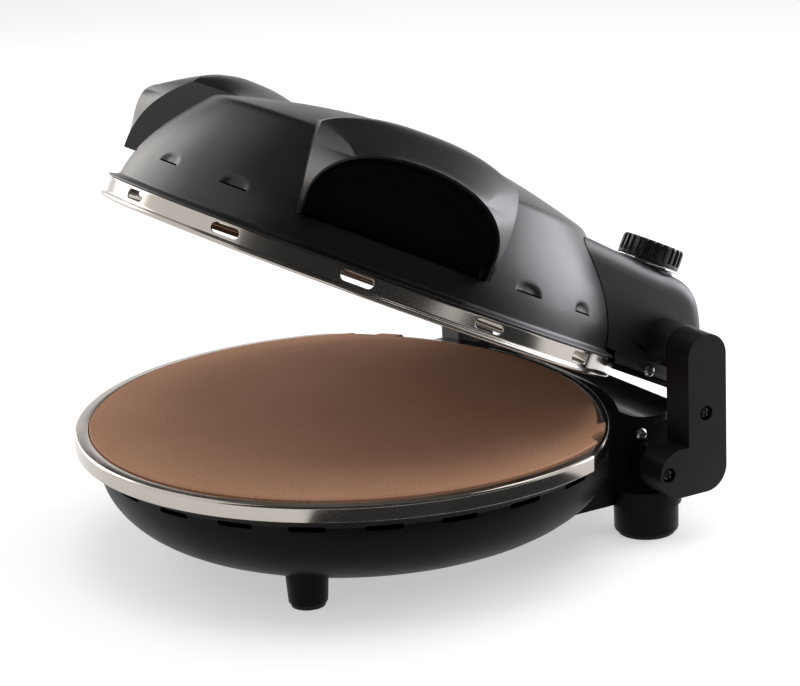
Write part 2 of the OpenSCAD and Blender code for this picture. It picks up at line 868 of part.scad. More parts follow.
// The dome and its ring, grown by a margin, as the housing fits round them
module lid_core(grow) {
  translate([0, 0, lip_z]) {
    dome_solid(-grow);
    translate([0, 0, -long / 2]) cylinder(r = lip_r + grow, h = long / 2 + band_h + bite, $fn = fine);
  }
}

module lug_holes() {
  rod_x(shank_r + play, -housing_x - bite, housing_x + bite, lug_y, lug_z, small);
}

module knob_axis(z) {
  translate([knob_x, knob_y, z]) children();
}

module lid_housing() {
  color("#252527") on_lid() difference() {
    union() {
      housing_body(0, housing_low_z);
      both_sides() rod_x(boss_r, housing_x - bite, arm_x - washer_t - play, pivot_y, pivot_z);
    }
    housing_body(dome_wall, housing_low_z - bite);
    lid_core(0.2);
    both_sides() rod_x(pin_r + pin_fit, housing_x - 10, arm_x, pivot_y, pivot_z);
    knob_axis(stat_top_z) cylinder(r = bush_r + play, h = long, $fn = small);
    lug_holes();
  }
}

module housing_cover() {
  lug_x = housing_x - dome_wall - play;
  color("#1d1d1f") on_lid() difference() {
    union() {
      difference() {
        intersection() {
          housing_body(dome_wall + play, housing_low_z);
          translate([-long / 2, 0, housing_low_z]) cube([long, long, cover_plate]);
        }
        lid_core(seat);
      }
      both_sides() translate([lug_x - 4, lug_y - 6, housing_low_z]) cube([4, 12, lug_z + 5 - housing_low_z]);
    }
    lug_holes();
  }
}

module housing_screws() {
  color("#b5b5b4") on_lid() both_sides() screw_x(housing_x + head_h, lug_y, lug_z, 7);
}

module thermostat() {
  color("#c9bfa8") on_lid() difference() {
    union() {
      knob_axis(stat_low_z) cylinder(r = stat_r, h = stat_top_z - stat_low_z, $fn = mid);
      knob_axis(stat_low_z) cylinder(r = bush_r, h = housing_top_z + 0.2 - stat_low_z, $fn = small);
    }
    knob_axis(stat_top_z - 6) cylinder(r = spindle_r + 2 * play, h = long, $fn = small);
  }
}

module thermostat_spindle() {
  color("#b9b8b4") on_lid() knob_axis(stat_top_z - 5)
    cylinder(r = spindle_r, h = spindle_top_z - stat_top_z + 5, $fn = small);
}

module knob_collar() {
  color("#202022") on_lid() difference() {
    knob_axis(housing_top_z - 4) cylinder(r = collar_r, h = 4 + collar_up, $fn = mid);
    housing_body(-play, housing_low_z);
    knob_axis(0) cylinder(r = spindle_r + 2 * play, h = long, $fn = small);
    knob_axis(0) cylinder(r = bush_r + play, h = housing_top_z + seat, $fn = small);
  }
}

module control_knob() {
  z0 = knob_low_z + knob_ring_h;
  color("#1c1c1e") on_lid() knob_axis(z0) difference() {
    union() {
      cylinder(r = knob_r, h = knob_h - knob_ring_h - bite, $fn = fine);
      translate([0, 0, knob_h - knob_ring_h - bite])
        cylinder(r1 = knob_r, r2 = knob_r - bite, h = bite, $fn = fine);
    }
    for (i = [1:knob_flutes]) rotate([0, 0, 360 * i / knob_flutes])
      translate([knob_r + flute_r / 2, 0, -bite]) cylinder(r = flute_r, h = long, $fn = small);
    translate([0, 0, -bite]) cylinder(r = spindle_r + play / 2, h = spindle_top_z + bite - z0, $fn = small);
  }
}

module knob_ring() {
  color("#d5d4d1") on_lid() knob_axis(knob_low_z) difference() {
    cylinder(r = knob_r + 0.4, h = knob_ring_h, $fn = fine);
    translate([0, 0, -bite]) cylinder(r = knob_r - 4, h = 2 * bite + knob_ring_h, $fn = mid);
  }
}

base_shell();
base_steel_ring();
stone_pan();
baking_stone();
lower_heating_element();
lower_element_clips();
rear_deck();
deck_screws();
front_feet();
rear_feet();
foot_pads();
terminal_block();
cord_gland();
left_arm_frame();
left_arm_cover();
right_arm_frame();
right_arm_cover();
arm_screws();
hinge_pins();
hinge_washers();
lid_dome();
lid_steel_ring();
lid_reflector();
upper_heating_element();
upper_element_clips();
left_grip_pocket();
right_grip_pocket();
lid_housing();
housing_cover();
housing_screws();
thermostat();
thermostat_spindle();
knob_collar();
control_knob();
knob_ring();
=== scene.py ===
"""Electric pizza maker with a baking stone and a hinged dome lid, dressed for a render."""
import json
import math

import bmesh
import bpy
import numpy as np
from mathutils import Matrix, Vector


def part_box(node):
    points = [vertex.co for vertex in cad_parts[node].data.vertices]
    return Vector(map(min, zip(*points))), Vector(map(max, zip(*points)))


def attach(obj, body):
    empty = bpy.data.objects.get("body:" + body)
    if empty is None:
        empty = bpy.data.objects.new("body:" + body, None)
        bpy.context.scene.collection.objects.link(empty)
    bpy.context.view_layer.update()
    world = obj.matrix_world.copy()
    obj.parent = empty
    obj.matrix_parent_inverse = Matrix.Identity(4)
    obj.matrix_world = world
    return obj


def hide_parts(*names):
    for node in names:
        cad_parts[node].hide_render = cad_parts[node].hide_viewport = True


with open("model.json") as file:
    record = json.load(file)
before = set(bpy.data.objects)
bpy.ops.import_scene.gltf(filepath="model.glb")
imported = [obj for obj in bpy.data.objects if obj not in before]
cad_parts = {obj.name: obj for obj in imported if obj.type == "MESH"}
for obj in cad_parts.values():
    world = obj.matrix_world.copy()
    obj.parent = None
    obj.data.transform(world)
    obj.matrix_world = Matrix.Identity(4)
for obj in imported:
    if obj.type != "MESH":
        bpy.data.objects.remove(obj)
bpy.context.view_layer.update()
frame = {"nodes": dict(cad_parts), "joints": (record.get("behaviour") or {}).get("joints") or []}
nodes = frame["nodes"]

# ---------------------------------------------------------------- studio
# A pale floor and white surroundings, a broad softbox low behind the right side, a large
# one overhead and a fainter one on the left. Four dark cards keep the white out of part of
# the black paint's reflections, as a studio does for a black object on white.
def colour(hex_code):
    """An sRGB hex colour as linear RGBA: each channel through the sRGB curve."""
    srgb = np.array([int(hex_code[i:i + 2], 16) for i in (1, 3, 5)]) / 255
    linear = np.where(srgb <= 0.04045, srgb / 12.92, ((srgb + 0.055) / 1.055) ** 2.4)
    return (*linear, 1.0)


def add_node(tree, kind, settings=None, **inputs):
    """Adds one node to a tree, sets it, and fills or links its inputs by name."""
    node = tree.nodes.new(kind)
    for name, value in (settings or {}).items():
        setattr(node, name, value)
    for name, value in inputs.items():
        socket = node.inputs[int(name[1:]) if name[0] == "_" else name.replace("_", " ")]
        if isinstance(value, bpy.types.NodeSocket):
            tree.links.new(value, socket)
        else:
            socket.default_value = value
    return node


world = bpy.data.worlds.new("white_surroundings")
bpy.context.scene.world = world
world.use_nodes = True
sky = world.node_tree
sky.nodes.clear()


def seen_directly(tree):
    """1 for rays from the camera, a mirror or glass, and 0 for soft light."""
    rays = add_node(tree, "ShaderNodeLightPath")
    seen = add_node(tree, "ShaderNodeMath", {"operation": "MAXIMUM"},
                    _0=rays.outputs["Is Camera Ray"], _1=rays.outputs["Is Transmission Ray"])
    return add_node(tree, "ShaderNodeMath", {"operation": "MAXIMUM"},
                    _0=seen.outputs[0], _1=rays.outputs["Is Glossy Ray"]).outputs[0]


level = add_node(sky, "ShaderNodeMapRange", _0=seen_directly(sky), _3=0.5, _4=1.0)
glow = add_node(sky, "ShaderNodeBackground", Color=colour("#ffffff"), Strength=level.outputs[0])
add_node(sky, "ShaderNodeOutputWorld", Surface=glow.outputs[0])

floor_mesh = bpy.data.meshes.new("floor")
reach = 6.0
floor_corners = [(-reach, -reach, 0), (reach, -reach, 0), (reach, reach, 0), (-reach, reach, 0)]
floor_mesh.from_pydata(floor_corners, [], [(0, 1, 2, 3)])
floor = bpy.data.objects.new("floor", floor_mesh)
bpy.context.scene.collection.objects.link(floor)


def new_material(name, **inputs):
    """A material, its tree and its Principled shader, which gets its inputs by name."""
    material = bpy.data.materials.new(name)
    material.use_nodes = True
    shader = material.node_tree.nodes["Principled BSDF"]
    for input_name, value in inputs.items():
        shader.inputs[input_name.replace("_", " ")].default_value = value
    return material, material.node_tree, shader


floor_paint, tree, shader = new_material("floor_paint", Base_Color=colour("#cfcfcf"),
                                         Roughness=0.9, Specular_IOR_Level=0.0,
                                         Emission_Color=colour("#ffffff"))
lift = add_node(tree, "ShaderNodeMapRange", _0=seen_directly(tree), _3=0.0, _4=0.5)
tree.links.new(lift.outputs[0], shader.inputs["Emission Strength"])
floor_mesh.materials.append(floor_paint)


def softbox(name, place, aim, size, watts, tint="#ffffff"):
    """A rectangular lamp at a place, turned to face an aim point."""
    lamp = bpy.data.lights.new(name, "AREA")
    lamp.shape = "RECTANGLE"
    lamp.size, lamp.size_y = size
    lamp.energy = watts
    lamp.color = colour(tint)[:3]
    holder = bpy.data.objects.new(name, lamp)
    bpy.context.scene.collection.objects.link(holder)
    back = np.array(place, float) - np.array(aim, float)
    back /= np.linalg.norm(back)
    right = np.cross((0, 0, 1), back)
    right /= np.linalg.norm(right)
    up = np.cross(back, right)
    matrix = np.eye(4)
    matrix[:3, 0], matrix[:3, 1], matrix[:3, 2], matrix[:3, 3] = right, up, back, place
    holder.matrix_world = Matrix(matrix.tolist())


middle = (0, 0, 0.15)
softbox("softbox_back", (0.15, 1.42, 0.42), middle, (1.05, 0.75), 13.5, "#f6f7ff")
softbox("softbox_top", (0.2, 0.3, 2.2), middle, (2.2, 2.2), 27)
softbox("softbox_left", (-1.6, -0.5, 0.75), middle, (1.3, 1.1), 10, "#fffaf4")

card_black = new_material("card_black", Base_Color=colour("#3c3c3c"), Roughness=1.0,
                          Specular_IOR_Level=0.0)[0]


def grid_quads(rows, columns):
    """Corner numbers of the quads between each four neighbours of a grid of points."""
    index = np.arange(rows * columns).reshape(rows, columns)
    return np.stack([index[:-1, :-1], index[1:, :-1], index[1:, 1:], index[:-1, 1:]], -1)


def dark_card(name, first, last, edge):
    """A bent card round the cooker: its edge, as (radius, height) points, is carried from
    one angle to another, counted from the front. Only reflections show it: it casts no
    shadow and takes no light away."""
    angle = np.radians(np.linspace(first, last, 25))[:, None]
    radius, height = np.array(edge, float).T
    points = np.stack([radius * np.sin(angle), -radius * np.cos(angle), height + 0 * angle], -1)
    quads = grid_quads(*points.shape[:2])
    mesh = bpy.data.meshes.new(name)
    mesh.from_pydata(points.reshape(-1, 3).tolist(), [], quads.reshape(-1, 4).tolist())
    mesh.materials.append(card_black)
    card = bpy.data.objects.new(name, mesh)
    bpy.context.scene.collection.objects.link(card)
    card.visible_camera = card.visible_diffuse = False
    card.visible_shadow = card.visible_transmission = False


card_side, card_top = (1.35, 1.2), (0.9, 1.7)
dark_card("dark_card_front", 8, 128, [(1.35, 0.12), card_side, card_top])
dark_card("dark_card_back", -155, -94, [(1.35, 0.55), card_side, card_top])
dark_card("dark_card_over", 0, 360, [card_top, (0.02, 1.9)])
dark_card("dark_card_low", 45, 130, [(0.25, 0.004), (1.35, 0.004)])

# ---------------------------------------------------------------- camera
# Stands to the right of the front, a little above, with a long lens and a slight roll. Its
# place is in millimetres about the bowl's axis, a rim's radius behind the rim's front edge.
MM = 0.001
rim_low, rim_high = (np.array(corner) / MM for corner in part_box("base_steel_ring"))
rim_radius = rim_high[0]
rim_top = rim_high[2]
bowl_shift = rim_low[1] + rim_radius


def in_frame(points):
    """Millimetres about the bowl's axis to metres in the frame: one shift along Y."""
    moved = np.array(points, float)
    moved[..., 1] += bowl_shift
    return moved * MM


azimuth, elevation, roll = (math.radians(a) for a in (60.24, 16.4, -2.58))
distance = 1541.9
aim_right, aim_up, aim_z = 27.93, 39.3, 80.0
back = np.array([math.sin(azimuth) * math.cos(elevation),
                 -math.cos(azimuth) * math.cos(elevation), math.sin(elevation)])
right = np.array([math.cos(azimuth), math.sin(azimuth), 0])
up = np.cross(back, right)
stand = right * aim_right + up * aim_up + back * distance + np.array([0, 0, aim_z])
across = right * math.cos(roll) + up * math.sin(roll)
upward = up * math.cos(roll) - right * math.sin(roll)
lens = bpy.data.cameras.new("camera")
lens.sensor_width = 36
lens.lens = 112.5
camera = bpy.data.objects.new("camera", lens)
bpy.context.scene.collection.objects.link(camera)
matrix = np.eye(4)
matrix[:3, 0], matrix[:3, 1], matrix[:3, 2], matrix[:3, 3] = across, upward, back, in_frame(stand)
camera.matrix_world = Matrix(matrix.tolist())
bpy.context.scene.camera = camera
bpy.context.scene.view_settings.view_transform = "Standard"

# ---------------------------------------------------------------- base
# The bowl with its rear block is one black moulding of heat-proof polyamide, fine-grained
# from the mould. It is a copy of its CAD node, with its vents, bosses and legs.
weld_reach = 2e-6


def clad(name, material):
    """Gives a CAD node's slots one material."""
    slots = nodes[name].material_slots
    if not slots:
        nodes[name].data.materials.append(material)
    for slot in slots:
        slot.material = material


def in_millimetres(tree):
    """Object coordinates in millimetres, so that a pattern's scale is 1 over its size."""
    place = add_node(tree, "ShaderNodeTexCoord")
    return add_node(tree, "ShaderNodeVectorMath", {"operation": "SCALE"},
                    _0=place.outputs["Object"], Scale=1000.0)


def clouded(tree, shader, place, size, tones, gloss=None, span=(0.3, 0.7), detail=4.0):
    """Clouds of noise, whose size is in millimetres: they mix two tones, and where a gloss
    is given they carry the roughness from its first value to its second over a span."""
    clouds = add_node(tree, "ShaderNodeTexNoise", Vector=place.outputs[0], Scale=1 / size,
                      Detail=detail).outputs["Fac"]
    tone = add_node(tree, "ShaderNodeMix", {"data_type": "RGBA"}, _0=clouds,
                    _6=colour(tones[0]), _7=colour(tones[1]))
    tree.links.new(tone.outputs[2], shader.inputs["Base Color"])
    if gloss:
        rough = add_node(tree, "ShaderNodeMapRange", _0=clouds, _1=span[0], _2=span[1],
                         _3=gloss[0], _4=gloss[1])
        tree.links.new(rough.outputs[0], shader.inputs["Roughness"])


def grained(tree, shader, place, size, strength, depth, detail=2.0):
    """Fine dents: noise, whose size is in millimetres, as a bump with a depth in metres."""
    grain = add_node(tree, "ShaderNodeTexNoise", Vector=place.outputs[0], Scale=1 / size, Detail=detail)
    dents = add_node(tree, "ShaderNodeBump", Strength=strength, Distance=depth,
                     Height=grain.outputs["Fac"])
    tree.links.new(dents.outputs[0], shader.inputs["Normal"])


def cad_copy(name, node, material, flat_angle=0.0):
    """A CAD node's mesh as a smooth new piece: points that meet are welded, and faces that
    lie within a flat angle of each other are joined."""
    source = nodes[node].data
    points = np.empty(len(source.vertices) * 3, np.float32)
    source.vertices.foreach_get("co", points)
    corners = np.empty(len(source.loops), np.int32)
    source.loops.foreach_get("vertex_index", corners)
    mesh = bpy.data.meshes.new(name)
    mesh.from_pydata(points.reshape(-1, 3).tolist(), [], corners.reshape(-1, 3).tolist())
    weld = bmesh.new()
    weld.from_mesh(mesh)
    bmesh.ops.remove_doubles(weld, verts=weld.verts, dist=weld_reach)
    if flat_angle:
        bmesh.ops.dissolve_limit(weld, angle_limit=flat_angle, verts=weld.verts, edges=weld.edges)
    weld.to_mesh(mesh)
    weld.free()
    mesh.polygons.foreach_set("use_smooth", np.ones(len(mesh.polygons), bool))
    mesh.materials.append(material)
    piece = bpy.data.objects.new(name, mesh)
    bpy.context.scene.collection.objects.link(piece)
    return piece


# Mould grain scatters light a little: a satin black with 0.6 mm grain and faint handling
# marks some centimetres wide, which show as changes of gloss.
base_black, tree, shader = new_material("moulded_polyamide_black", IOR=1.53,
                                        Specular_IOR_Level=0.07)
place = in_millimetres(tree)
clouded(tree, shader, place, 38, ("#0b0a0b", "#100f10"), (0.34, 0.44))
grained(tree, shader, place, 0.6, 0.12, 0.00006)
# The bowl's CAD mesh is flat-shaded in bands. The copy has the same points and faces, with
# one smooth normal over each curved side.
smooth_base = cad_copy("base_shell_smooth", "base_shell", base_black)
smooth_base.data.set_sharp_from_angle(angle=math.radians(24))
evened = smooth_base.modifiers.new("evened", "WEIGHTED_NORMAL")
evened.keep_sharp = True
evened.weight = 90
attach(smooth_base, "base")
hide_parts("base_shell")

# ---------------------------------------------------------------- feet
# Two tapered front feet and two wide rear feet are moulded in the same black polyamide,
# each on a rubber pad. The front ones run up into the bowl, the rear ones into its legs.
def turned(profile, angles):
    """A profile of (radius, height) points carried round the upright axis, with angles
    counted from the front: x = r sin a, y = -r cos a, z = height."""
    r, z = np.array(profile, float).T
    return np.stack([np.outer(np.sin(angles), r), np.outer(-np.cos(angles), r),
                     np.broadcast_to(z, (len(angles), len(z)))], -1)


def shell(name, grids, material, body, crisp=32, left_out=None):
    """Joins grids of points into one mesh. Each grid is (rows, columns, 3) in metres, with a
    quad between each four neighbours. Points that meet are welded, so poles and seams
    close, faces are turned outwards, and edges over the crisp angle stay sharp. A quad is
    left out where left_out marks all its corners."""
    quads, first = [], 0
    for number, grid in enumerate(grids):
        corners = grid_quads(*grid.shape[:2])
        keep = np.ones(corners.shape[:2], bool)
        if left_out is not None:
            keep = ~left_out[number].reshape(-1)[corners].all(-1)
        quads.append(corners[keep] + first)
        first += grid.shape[0] * grid.shape[1]
    mesh = bpy.data.meshes.new(name)
    mesh.from_pydata(np.concatenate([grid.reshape(-1, 3) for grid in grids]).tolist(), [],
                     np.concatenate(quads).tolist())
    weld = bmesh.new()
    weld.from_mesh(mesh)
    bmesh.ops.remove_doubles(weld, verts=weld.verts, dist=weld_reach)
    bmesh.ops.recalc_face_normals(weld, faces=weld.faces)
    weld.to_mesh(mesh)
    weld.free()
    mesh.polygons.foreach_set("use_smooth", np.ones(len(mesh.polygons), bool))
    mesh.set_sharp_from_angle(angle=math.radians(crisp))
    mesh.materials.append(material)
    piece = bpy.data.objects.new(name, mesh)
    bpy.context.scene.collection.objects.link(piece)
    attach(piece, body)
    return piece


circle = np.linspace(0, 2 * np.pi, 65)
front_foot_at, rear_foot_x, rear_foot_y = 85.8, 105.5, 141
front_foot = [(0, 2), (10.4, 2), (11.2, 2.3), (11.6, 3.1), (12.9, 23.5), (0, 23.5)]
rear_foot = [(0, 2), (18.5, 2), (19.4, 2.4), (19.8, 3.4), (19.9, 20.5), (0, 20.5)]
feet = [in_frame(turned(front_foot, circle) + (side * front_foot_at, -front_foot_at, 0))
        for side in (-1, 1)]
front_feet = shell("front_feet_turned", feet, base_black, "base", crisp=60)
feet = [in_frame(turned(rear_foot, circle) + (side * rear_foot_x, rear_foot_y, 0))
        for side in (-1, 1)]
rear_feet = shell("rear_feet_turned", feet, base_black, "base", crisp=60)
for piece, node in ((front_feet, "front_feet"), (rear_feet, "rear_feet")):
    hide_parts(node)
# Pads of black rubber, dull and slightly dusty
pad_rubber, tree, shader = new_material("black_rubber", Roughness=0.8)
place = in_millimetres(tree)
clouded(tree, shader, place, 2.5, ("#1a1a1a", "#2a2929"))
clad("foot_pads", pad_rubber)

# ---------------------------------------------------------------- steel rim
# The rim of the base is a ring of polished stainless sheet with a rolled outer edge and a
# turned-in flange. It follows the round plan, which a shallow arc cuts at the back.
def plan_reach(angles, inset):
    """Distance from the bowl's axis to the plan's edge, moved in: the lesser of the circle
    r = 174 and the rear arc, r = 204 about a centre 60 in front of the axis."""
    ahead = 60 * np.cos(angles)
    rear = ahead + np.sqrt(ahead ** 2 - 3600 + (204 - inset) ** 2)
    return np.minimum(rim_radius - inset, rear)


around = np.linspace(0, 2 * np.pi, 721)
roll_radius, flange_edge, deck_half, skirt_foot = 1.9, 165.6, 118.4, 70.4
inner = np.minimum(plan_reach(around, roll_radius), flange_edge)
stepped = np.minimum(plan_reach(around, 6.9), flange_edge)
at_back = (np.cos(around) < 0) & (np.abs(inner * np.sin(around)) < deck_half)
inner = np.where(at_back, stepped, inner)
# Section of the ring as (share of the way in, height), from the skirt's foot over the roll
roll = np.linspace(0, np.pi / 2, 8)
section_in = np.concatenate([[0.55, 0.1, 0], roll_radius * (1 - np.cos(roll))])
section_z = np.concatenate([[skirt_foot, 70.5, 71.0],
                            rim_top - roll_radius + roll_radius * np.sin(roll)])
reach_grid = [plan_reach(around, inset) for inset in section_in]
flange = [(0.5, rim_top), (0.93, rim_top), (0.99, rim_top - 0.12), (1.0, rim_top - 0.5),
          (0.99, rim_top - 0.8)]
last = plan_reach(around, roll_radius)
reach_grid += [last + (inner - last) * share for share, _ in flange]
heights = np.concatenate([section_z, [height for _, height in flange]])
under_in = [2.4, 1.0, 0.8, 0.8]
under_z = [rim_top - 0.8, rim_top - 1.6, rim_top - 3, skirt_foot]
reach_grid += [plan_reach(around, inset) for inset in under_in]
heights = np.concatenate([heights, under_z, [skirt_foot]])
reach_grid = np.stack(reach_grid + [plan_reach(around, 0.55)], -1)
ring = np.stack([reach_grid * np.sin(around)[:, None], -reach_grid * np.cos(around)[:, None],
                 np.broadcast_to(heights, reach_grid.shape)], -1)

# Polished stainless steel: bright, with fine marks drawn round the ring by the polishing
# wheel, 0.5 mm apart, drawn coarser than the real ones so that they show.
rim_steel, tree, shader = new_material("polished_stainless_steel", Metallic=1.0)
place = in_millimetres(tree)
axes = add_node(tree, "ShaderNodeSeparateXYZ", Vector=place.outputs[0])
marks = add_node(tree, "ShaderNodeCombineXYZ", X=0.0, Y=0.0, Z=axes.outputs["Z"])
lines = add_node(tree, "ShaderNodeTexNoise", Vector=marks.outputs[0], Scale=1 / 0.5, Detail=2.0)
clouded(tree, shader, place, 45, ("#ada69f", "#c0b9b2"), (0.10, 0.2), detail=3.0)
scratch = add_node(tree, "ShaderNodeBump", Strength=0.15, Distance=0.00003, Height=lines.outputs["Fac"])
tree.links.new(scratch.outputs[0], shader.inputs["Normal"])
base_rim = shell("base_rim_rolled", [in_frame(ring)], rim_steel, "base", crisp=40)
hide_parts("base_steel_ring")

# ---------------------------------------------------------------- pan
# The pan under the stone is pressed from thin aluminised steel, matt and slightly mottled,
# with a ledge that the stone rests on and a well for the heating tube.
pan_steel, tree, shader = new_material("aluminised_steel", Metallic=1.0)
place = in_millimetres(tree)
spangle = add_node(tree, "ShaderNodeTexVoronoi", Vector=place.outputs[0], Scale=1 / 7)
tone = add_node(tree, "ShaderNodeMix", {"data_type": "RGBA"}, _0=spangle.outputs["Distance"],
                _6=colour("#8e8c89"), _7=colour("#a9a7a3"))
tree.links.new(tone.outputs[2], shader.inputs["Base Color"])
gloss = add_node(tree, "ShaderNodeMapRange", _0=spangle.outputs["Distance"],
                 _1=0.0, _2=0.8, _3=0.32, _4=0.5)
tree.links.new(gloss.outputs[0], shader.inputs["Roughness"])
clad("stone_pan", pan_steel)

# ---------------------------------------------------------------- baking stone
# A disc of cordierite clay, pressed and fired: warm terracotta, dull, with fine grog grain,
# small dark and pale specks and slow clouds of tone from the kiln.
stone_clay, tree, shader = new_material("fired_cordierite", Roughness=0.86, Specular_IOR_Level=0.3)
place = in_millimetres(tree)
clouds = add_node(tree, "ShaderNodeTexNoise", Vector=place.outputs[0], Scale=1 / 70,
                  Detail=4.0, Roughness=0.6)
tone = add_node(tree, "ShaderNodeMix", {"data_type": "RGBA"}, _0=clouds.outputs["Fac"],
                _6=colour("#b08064"), _7=colour("#c49577"))
grog = add_node(tree, "ShaderNodeTexNoise", Vector=place.outputs[0], Scale=1 / 1.1,
                Detail=3.0, Roughness=0.7)
grog_amount = add_node(tree, "ShaderNodeMapRange", _0=grog.outputs["Fac"],
                       _1=0.35, _2=0.68, _3=0.0, _4=0.4)
tone = add_node(tree, "ShaderNodeMix", {"data_type": "RGBA"}, _0=grog_amount.outputs[0],
                _6=tone.outputs[2], _7=colour("#8a6049"))
specks = add_node(tree, "ShaderNodeTexVoronoi", Vector=place.outputs[0], Scale=1 / 4.5)
speck_amount = add_node(tree, "ShaderNodeMapRange", _0=specks.outputs["Distance"],
                        _1=0.10, _2=0.16, _3=0.55, _4=0.0)
tone = add_node(tree, "ShaderNodeMix", {"data_type": "RGBA"}, _0=speck_amount.outputs[0],
                _6=tone.outputs[2], _7=colour("#6d4433"))
tree.links.new(tone.outputs[2], shader.inputs["Base Color"])
pores = add_node(tree, "ShaderNodeBump", Strength=0.35, Distance=0.00015, Height=grog.outputs["Fac"])
tree.links.new(pores.outputs[0], shader.inputs["Normal"])
clad("baking_stone", stone_clay)

# ---------------------------------------------------------------- heating and fittings
# The heating tubes are Incoloy, browned by heat, held by pressed clips. Hidden fittings
# under them are a steatite terminal block, a thermostat and turned pins.
heater, tree, shader = new_material("heat_browned_incoloy", Metallic=1.0)
place = in_millimetres(tree)
clouded(tree, shader, place, 16, ("#3f3833", "#6b5f55"), (0.38, 0.6), span=(0, 1))
for node in ("lower_heating_element", "upper_heating_element"):
    clad(node, heater)

# Zinc-plated steel for clips, pins, washers and screws: grey, with a faint cloudy bloom
zinc_steel, tree, shader = new_material("zinc_plated_steel", Metallic=1.0)
place = in_millimetres(tree)
clouded(tree, shader, place, 5, ("#9c9b99", "#c2c1be"), (0.2, 0.34), span=(0, 1), detail=3.0)
for node in ("lower_element_clips", "upper_element_clips", "hinge_pins", "hinge_washers",
             "thermostat_spindle", "deck_screws", "housing_screws"):
    clad(node, zinc_steel)
clad("lid_reflector", pan_steel)

# Steatite and the thermostat's moulded body: off-white, dull, a little uneven
steatite, tree, shader = new_material("steatite_ceramic", Roughness=0.55)
place = in_millimetres(tree)
clouded(tree, shader, place, 3, ("#cfc8ba", "#e4dfd3"), detail=3.0)
for node in ("terminal_block", "thermostat"):
    clad(node, steatite)
clad("cord_gland", pad_rubber)


# ---------------------------------------------------------------- deck and hinge arms
# The deck is a separate moulding over the rear block. Each hinge arm is a moulded frame
# with a cover, screwed to the base at its toe, and all their edges are eased by the mould.
def eased(name, node, width, material, body):
    """A welded copy of a CAD node, with its sharp edges rounded by a small radius."""
    piece = cad_copy(name, node, material, flat_angle=math.radians(0.6))
    ease = piece.modifiers.new("ease", "BEVEL")
    ease.width = width * MM
    ease.segments = 3
    ease.limit_method = "ANGLE"
    ease.angle_limit = math.radians(32)
    ease.harden_normals = True
    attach(piece, body)
    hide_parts(node)
    return piece


# The deck is polished in the mould: a smooth black whose gloss varies with handling
deck_black, tree, shader = new_material("glossy_deck_black", IOR=1.53)
place = in_millimetres(tree)
clouded(tree, shader, place, 34, ("#090909", "#0e0d0e"), (0.16, 0.24))
deck = eased("rear_deck_moulding", "rear_deck", 0.5, deck_black, "base")
# Arms: the same polyamide with a finer, satin grain that catches more light
arm_black, tree, shader = new_material("satin_polyamide_black", IOR=1.53, Specular_IOR_Level=0.22)
place = in_millimetres(tree)
clouded(tree, shader, place, 30, ("#131011", "#191617"), (0.38, 0.48))
grained(tree, shader, place, 0.5, 0.12, 0.00005)
for side in ("left", "right"):
    for part, width in (("frame", 0.6), ("cover", 0.7)):
        piece = eased(f"{side}_arm_{part}_eased", f"{side}_arm_{part}", width, arm_black, "base")


def screw_head(radius, dome, slot_half, slot_reach):
    """A pan head seen along Z: height = dome (1 - (r/R)^4), sunk where |x| or |y| is within
    the cross recess, closed by its underside."""
    turn, out = np.meshgrid(np.linspace(0, 2 * np.pi, 97), np.linspace(0, 1, 25), indexing="ij")
    x, y = radius * out * np.cos(turn), radius * out * np.sin(turn)
    cross = ((np.abs(x) < slot_half) | (np.abs(y) < slot_half)) & (np.hypot(x, y) < slot_reach)
    z = dome * (1 - out ** 4) - 0.9 * cross
    top = np.stack([x, y, z], -1)
    foot = np.stack([x[:, ::-1], y[:, ::-1], np.full_like(z, -1.0)], -1)
    return np.concatenate([top, foot], 1)


def facing_side(points, side, x, y, z):
    """Turns a head's axis from Z to the cooker's side and puts it at a place."""
    return np.stack([side * (x + points[..., 2]), y + points[..., 0], z + points[..., 1]], -1)


# Black oxide screws of the arms, sunk in their counterbores, and bright ones elsewhere
black_oxide, tree, shader = new_material("black_oxide_steel", Metallic=1.0, Roughness=0.28)
place = in_millimetres(tree)
clouded(tree, shader, place, 2, ("#2b2b2c", "#454546"), detail=3.0)
sunk_head = screw_head(4.0, 1.3, 0.55, 2.6)
arm_face, arm_screws_at = 139.7, ((132.3, 47.7), (160.2, 81.4))
grids = [in_frame(facing_side(sunk_head, side, arm_face, y, z)) for side in (-1, 1)
         for y, z in arm_screws_at]
arm_screws = shell("arm_screw_heads", grids, black_oxide, "base", crisp=30)
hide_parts("arm_screws")
raised_head = screw_head(4.0, 1.9, 0.55, 2.6)
deck_screw_at = (102.6, 140.6, rim_top - 18.3)
grids = [in_frame(facing_side(raised_head, side, *deck_screw_at)) for side in (-1, 1)]
deck_screws = shell("deck_screw_heads", grids, zinc_steel, "base", crisp=30)
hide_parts("deck_screws")

# ---------------------------------------------------------------- lid's steel ring
# The lid's own ring is spun from stainless sheet: a rolled bead along its lip, an upright
# band with nine vent slots, and a flange turned in under the dome's foot. It turns with the
# lid about the hinge pins' line.
hinge = next(joint for joint in frame["joints"] if joint["name"] == "lid_hinge")
pivot_y = hinge["pos_m"][1] / MM - bowl_shift
pivot_z = hinge["pos_m"][2] / MM
open_angle = math.radians(-hinge["range_deg"][0])
lip_z = rim_top + 3.1


def on_lid(points):
    """A shut lid's millimetres, with Z from the lid's lip, turned about the pins' line
    by the open angle: y' = y cos + z sin, z' = z cos - y sin."""
    y = points[..., 1] - pivot_y
    z = points[..., 2] + lip_z - pivot_z
    turned = np.array(points, float)
    turned[..., 1] = y * math.cos(open_angle) + z * math.sin(open_angle) + pivot_y
    turned[..., 2] = z * math.cos(open_angle) - y * math.sin(open_angle) + pivot_z
    return in_frame(turned)


